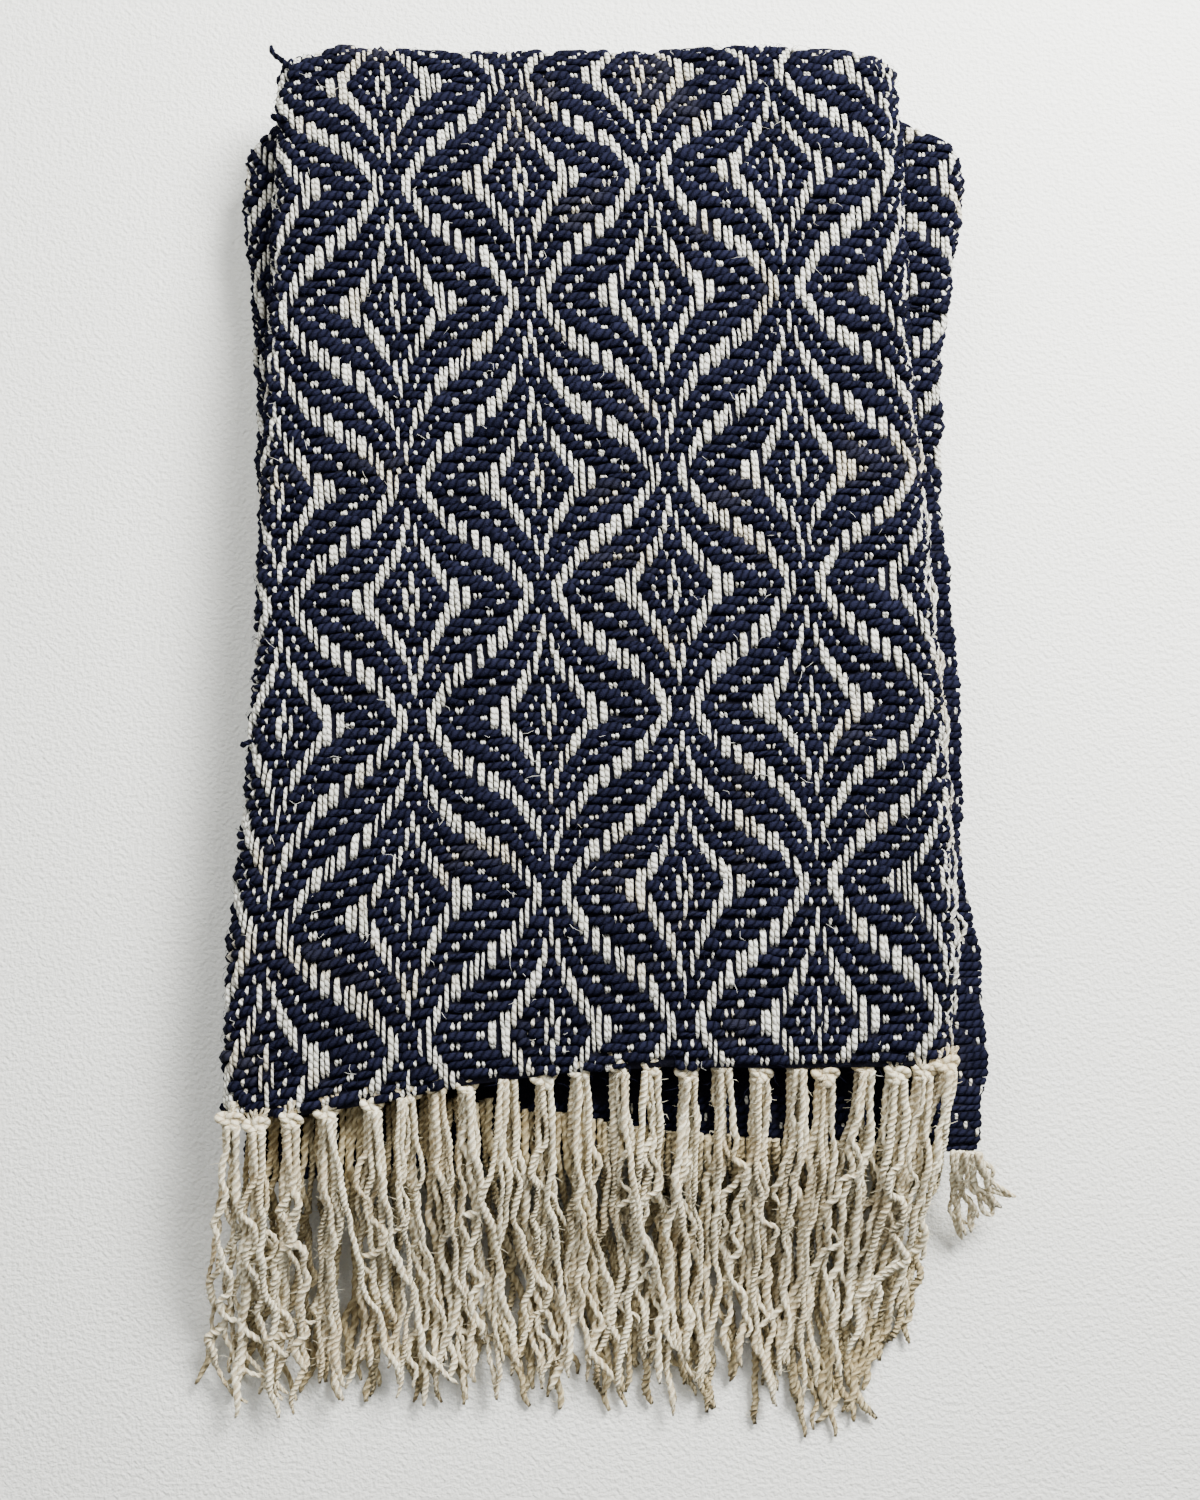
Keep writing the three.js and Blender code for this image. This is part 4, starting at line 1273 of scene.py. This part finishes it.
@dataclass
class Fringe:
    """The fringe of the top stretch, of the under cloth and of its corner.

    Attributes:
        per_knot: Strands that hang from each knot.
        under_count: Strands of the under cloth's end.
        corner_count: Strands of its corner.
        spacing: Distance between the roots in one knot.
        spread: How far its strands drift apart.
        layer_height: Height between the layers of strands in one knot.
        crossing_share: Share of the strands that cross over others.
        calm_share: Share of them that have small waves.
        curled_knots: Knots on the left whose strands curl at the foot.
        laid: Routes of all strands made so far.
    """

    per_knot: int = 6
    under_count: int = 102
    corner_count: int = 14
    spacing: float = 0.95
    spread: float = 2.2
    layer_height: float = 1.7
    crossing_share: float = 0.16
    calm_share: float = 0.78
    curled_knots: int = 2
    laid: list[np.ndarray] = field(default_factory=list)

    def upper(self, finishes: Finishes) -> Pieces:
        """Strands that hang from the knots."""
        rng = np.random.default_rng(41)
        maker = StrandMaker(seed=43)
        halves = [MeshParts(), MeshParts()]
        xs, ys = KNOTS.columns["x"], KNOTS.columns["y"]
        for k, (x, y) in enumerate(zip(xs, ys)):
            for n in range(self.per_knot):
                aside = n - (self.per_knot - 1) / 2
                reach = float(UPPER_REACH.read("reach", x)) * rng.uniform(0.84, 1.02)
                crossing = rng.random() < self.crossing_share
                drift = float(UPPER_REACH.read("drift", x)) + aside * self.spread
                drift += rng.normal() * (11 if crossing else 3.2)
                layer = 2.1 if crossing else n % 3 - 1
                level = layer * self.layer_height + rng.uniform(-0.4, 0.4)
                radius = rng.choice([1.3, 1.55, 1.1], p=[0.5, 0.3, 0.2])
                kink = rng.uniform(0.5, 1.1) if rng.random() < self.calm_share else rng.uniform(1.4, 2.5)
                curl = rng.normal() * 0.25
                if k < self.curled_knots and n % 2 == 0:
                    curl = rng.uniform(1.1, 1.7)
                if x > 95:
                    curl -= 0.2
                rise = max(rng.normal() * 1.5, 0)
                root = x + aside * self.spacing
                # Painted light and shade: strands in higher layers get a lighter tint and those in lower
                # layers a darker one, as light falls on them; wrap adds a random spread on top.
                strand = Strand(root, y - 1.8, reach, drift, level, UPPER_FALL, radius, kink, curl, rise,
                                0.56 + 0.16 * layer)
                maker.sweep(strand, halves[k % 2])
        self.laid += maker.laid
        return [half.piece(f"fringe_strands_{n + 1}", finishes["fringe"], FRINGE_SLOT, "upper_fringe")
                for n, half in enumerate(halves)]

    def strays(self, finishes: Finishes) -> Pieces:
        """Loose ends of weft at the left edge, edge warps at the right one, and a loop of warp below them."""
        maker = StrandMaker(seed=71, step=0.6)
        navy, cream = MeshParts(), MeshParts()
        for line, radius in (
            (((-111.5, 239.5, 38.6), (-116, 244, 39), (-120, 247.5, 38.6), (-123.2, 250, 37.8),
              (-124, 253.5, 37)), 1.3),
            (((-117, 223, 42.6), (-120.5, 224, 41), (-122.6, 225.5, 39.5)), 1.5),
            (((-122, -3, 42.4), (-126.5, -3.5, 40.5), (-130.2, -5, 40)), 1.4),
        ):
            maker.lay(line, radius, navy)
        loop = ((118, -62, 30.5), (124, -64, 31), (127.6, -69, 30.6), (125, -74, 31), (119, -76, 30.5))
        maker.lay(loop, 0.9, cream)
        edge = MeshParts()
        for first, last, out, height in ((104, -18, 0.6, 39.6), (60, -112, 1.7, 41.2), (18, -100, 0.2, 38.4)):
            y = np.arange(first, last, -2.5)
            sway = 0.9 * np.sin(y / 4.1 + height) + 0.5 * np.sin(y / 1.9 + out)
            x = UPPER_SIDES.read("right", y) - out + sway
            z = (height + 0.8 * np.sin(y / 3.3 + out)) * SLUMP.at(x, y)
            maker.lay(np.column_stack([x, y, z]), 1.0, edge)
        return [navy.piece("stray_weft", finishes["wool"], CLOTH_SLOT, "upper_cloth"),
                edge.piece("edge_warp", finishes["warp"], CLOTH_SLOT, "upper_cloth"),
                cream.piece("stray_warp", finishes["warp"], SELVEDGE_SLOT, "under_cloth")]

    def under(self, finishes: Finishes) -> bpy.types.Object:
        """Strands of the under cloth's end, in a darker copy of the fringe's finish that paints shade on
        them.
        """
        rng = np.random.default_rng(47)
        maker = StrandMaker(seed=53, step=1.5)
        parts = MeshParts()
        for n in range(self.under_count):
            x = -126 + 243 * n / (self.under_count - 1) + rng.uniform(-0.8, 0.8)
            y = float(UNDER_END.read("y", x)) - 0.5
            reach = float(UNDER_REACH.read("reach", x)) * rng.uniform(0.82, 1.04)
            early = float(UNDER_REACH.read("early", x)) * rng.uniform(0.85, 1)
            drift = float(UNDER_REACH.read("drift", x)) + rng.normal() * 4
            level = rng.uniform(-0.8, 1.6)
            fall = Table("past", {"past": (0, *(past + early for past in UNDER_FALL.columns["past"])),
                                  "z": (31.6, *UNDER_FALL.columns["z"])})
            strand = Strand(x, y + early, reach + early, drift, level, fall, rng.uniform(1.3, 1.8),
                            rng.uniform(0.6, 1.5), rng.normal() * 0.35)
            maker.sweep(strand, parts)
        self.laid += maker.laid
        return parts.piece("under_strands", finishes["painted_shade"], FRINGE_SLOT, "under_fringe")

    def corner(self, finishes: Finishes) -> bpy.types.Object:
        """Tuft at the under cloth's right corner."""
        rng = np.random.default_rng(59)
        maker = StrandMaker(seed=61)
        parts = MeshParts()
        for n in range(self.corner_count):
            share = n / (self.corner_count - 1)
            x = 121.5 + 10 * share
            y = float(UNDER_END.read("y", x)) + 1
            strand = Strand(x, y, 36 - 12 * share - rng.uniform(0, 4), 6 + 12 * share, rng.uniform(-0.8, 1.2),
                            UNDER_FALL, rng.uniform(1, 1.4), rng.uniform(0.8, 1.8), rng.normal() * 0.3)
            maker.sweep(strand, parts)
        self.laid += maker.laid
        return parts.piece("corner_strands", finishes["fringe"], FRINGE_SLOT, "corner_tuft")


@dataclass(frozen=True)
class Fuzz:
    """Stray fibres that stand off the yarns, each a thin closed tube of two lengths.

    Attributes:
        wool: Fibres of weft on the top stretch.
        cotton: Fibres of warp on the top stretch.
        fringe: Fibres along the fringe.
        radius: A fibre's radius.
        plain: Twist's place that has no groove.
    """

    wool: int = 3000
    cotton: int = 260
    fringe: int = 3800
    radius: float = 0.085
    plain: float = 2.6

    def add(self, routes: np.ndarray, tints: np.ndarray, parts: MeshParts) -> None:
        """Adds fibres along routes of three points each."""
        tangent = np.gradient(routes, axis=1)
        tangent /= np.linalg.norm(tangent, axis=2)[..., None]
        aside = np.cross(np.array([0.0, 0.0, 1.0]), tangent)
        aside /= np.maximum(np.linalg.norm(aside, axis=2), 1e-6)[..., None]
        above = np.cross(tangent, aside)
        turn = np.radians((90, 210, 330))
        thick = self.radius * np.array([1, 1, 0.6])[None, :, None, None]
        points = routes[:, :, None] + thick * (aside[:, :, None] * np.cos(turn)[:, None]
                                               + above[:, :, None] * np.sin(turn)[:, None])
        shape = points.shape[:3]
        tint = np.broadcast_to(tints[:, None, None], shape)
        parts.add_tubes(points, np.stack([np.zeros(shape), np.full(shape, self.plain), tint], axis=-1))

    def over_cloth(self, count: int, rng: np.random.Generator) -> np.ndarray:
        """Routes of fibres that lie across the top stretch and stand out past its folds."""
        v = rng.uniform(-124, 262, count)
        u = rng.uniform(UPPER_SIDES.read("left", v) - 8, UPPER_SIDES.read("right", v) + 8)
        heading = rng.uniform(0, math.tau, count)
        half = rng.uniform(1, 2.8, count)
        bent = heading + rng.normal(0, 0.8, count)
        us = np.stack([u, u + half * np.cos(heading), u + half * (np.cos(heading) + np.cos(bent))], axis=1)
        vs = np.stack([v, v + half * np.sin(heading), v + half * (np.sin(heading) + np.sin(bent))], axis=1)
        depth = np.stack([np.full(count, 0.6), -rng.uniform(0.5, 1.3, count), -rng.uniform(0, 1.3, count)],
                         axis=1)
        return UPPER.point(us, vs, depth)

    def over_fringe(self, laid: list[np.ndarray], rng: np.random.Generator) -> np.ndarray:
        """Routes of fibres that leave the fringe's strands."""
        chosen = [laid[n][rng.integers(3, len(laid[n]) - 1)] for n in rng.integers(0, len(laid), self.fringe)]
        start = np.array(chosen)
        first = rng.normal(size=start.shape) * np.array([1, 0.8, 0.5])
        second = first + rng.normal(size=start.shape) * 0.8
        half = rng.uniform(1, 2.4, (self.fringe, 1))
        first = first / np.linalg.norm(first, axis=1)[:, None] * half
        second = second / np.linalg.norm(second, axis=1)[:, None] * half
        routes = np.stack([start, start + first, start + first + second], axis=1)
        routes[..., 2] = np.maximum(routes[..., 2], 0.3)
        return routes

    def build(self, finishes: Finishes,
              laid: list[np.ndarray]) -> tuple[Pieces, bpy.types.Object]:
        """Builds the cloth's two kinds of fibre, and the fringe's."""
        rng = np.random.default_rng(83)
        made = []
        for name, finish, count in (("wool_fuzz", "wool", self.wool), ("cotton_fuzz", "warp", self.cotton)):
            parts = MeshParts()
            self.add(self.over_cloth(count, rng), rng.uniform(0.2, 1, count), parts)
            made.append(parts.piece(name, finishes[finish], CLOTH_SLOT, "upper_cloth"))
        parts = MeshParts()
        self.add(self.over_fringe(laid, rng), rng.uniform(0.4, 1, self.fringe), parts)
        return made, parts.piece("fringe_fuzz", finishes["fringe"], FRINGE_SLOT, "upper_fringe")


@dataclass(frozen=True)
class Studio:
    """Floor, lights and the camera almost straight above.

    Attributes:
        target: What the camera looks at, in millimetres.
        distance: Camera's distance, in millimetres.
        tilt: Camera's lean towards the fringe, in degrees.
        lens: Focal length for a 36 mm long side.
        lights: Name, place, size and power of each light, in metres and watts.
        sky: Colour of the surroundings.
        sky_strength: Their brightness.
    """

    target: tuple[float, float, float] = (-3, -7, 46)
    distance: float = 583
    tilt: float = 4.5
    lens: float = 39.98
    lights: tuple = (("key", (0.46, 0.6, 0.72), 0.42, 44), ("fill", (-0.4, 0.7, 0.9), 0.9, 11))
    sky: Colour = (0.95, 0.97, 1, 1)
    sky_strength: float = 0.39

    def floor(self) -> None:
        """Adds the surface that the bundle lies on."""
        bpy.ops.object.select_all(action="DESELECT")
        bpy.ops.mesh.primitive_plane_add(size=6, location=(0, 0, 0))
        plane = bpy.context.active_object
        plane.name = "floor"
        plane.data.materials.append(FloorFinish().material())

    def light(self, name: str, place: tuple[float, float, float], size: float, power: float) -> None:
        """Adds a soft light that looks at the bundle."""
        data = bpy.data.lights.new(name, "AREA")
        data.size = size
        data.energy = power
        lamp = bpy.data.objects.new(name, data)
        lamp.location = place
        aim = -lamp.location.copy()
        lamp.rotation_euler = aim.to_track_quat("-Z", "Y").to_euler()
        bpy.context.scene.collection.objects.link(lamp)

    def camera(self) -> None:
        """Adds the camera at the photograph's angle."""
        data = bpy.data.cameras.new("camera")
        data.sensor_fit = "VERTICAL"
        data.sensor_height = 36
        data.lens = self.lens
        data.clip_start = 0.01
        camera = bpy.data.objects.new("camera", data)
        tilt = math.radians(self.tilt)
        x, y, z = self.target
        camera.location = (x * MILLIMETRE, (y - self.distance * math.sin(tilt)) * MILLIMETRE,
                           (z + self.distance * math.cos(tilt)) * MILLIMETRE)
        camera.rotation_euler = (tilt, 0, 0)
        bpy.context.scene.collection.objects.link(camera)
        bpy.context.scene.camera = camera

    def build(self) -> None:
        """Adds everything round the bundle."""
        self.camera()
        self.floor()
        for light in self.lights:
            self.light(*light)
        world = bpy.data.worlds.new("studio")
        world.use_nodes = True
        background = world.node_tree.nodes["Background"]
        background.inputs["Color"].default_value = self.sky
        background.inputs["Strength"].default_value = self.sky_strength
        bpy.context.scene.world = world


def main() -> None:
    """Builds the studio and every piece, in order."""
    logging.basicConfig(level=logging.INFO, format="%(message)s")
    Studio().build()
    finishes = {
        "wool": NAVY_WOOL.material(),
        "warp": CREAM_WARP.material(),
        "fringe": IVORY_FRINGE.material(),
        "painted_shade": PAINTED_SHADE_FRINGE.material(),
        "web": WebFinish().material(),
    }
    cloths = {
        "upper": upper_stretch(finishes),
        "lower": lower_stretch(finishes),
        "under": UnderCloth().build(finishes),
    }
    HiddenStack().build(finishes)
    fringe = Fringe()
    stray_weft, edge_warp, stray_warp = fringe.strays(finishes)
    cloths["upper"] += [stray_weft, edge_warp]
    cloths["under"].append(stray_warp)
    upper_fringe = [Knots().build(finishes), *fringe.upper(finishes)]
    under_fringe = [fringe.under(finishes), fringe.corner(finishes)]
    cloth_fuzz, fringe_fuzz = Fuzz().build(finishes, fringe.laid)
    cloths["upper"] += cloth_fuzz
    upper_fringe.append(fringe_fuzz)


if __name__ == "__main__":
    main()
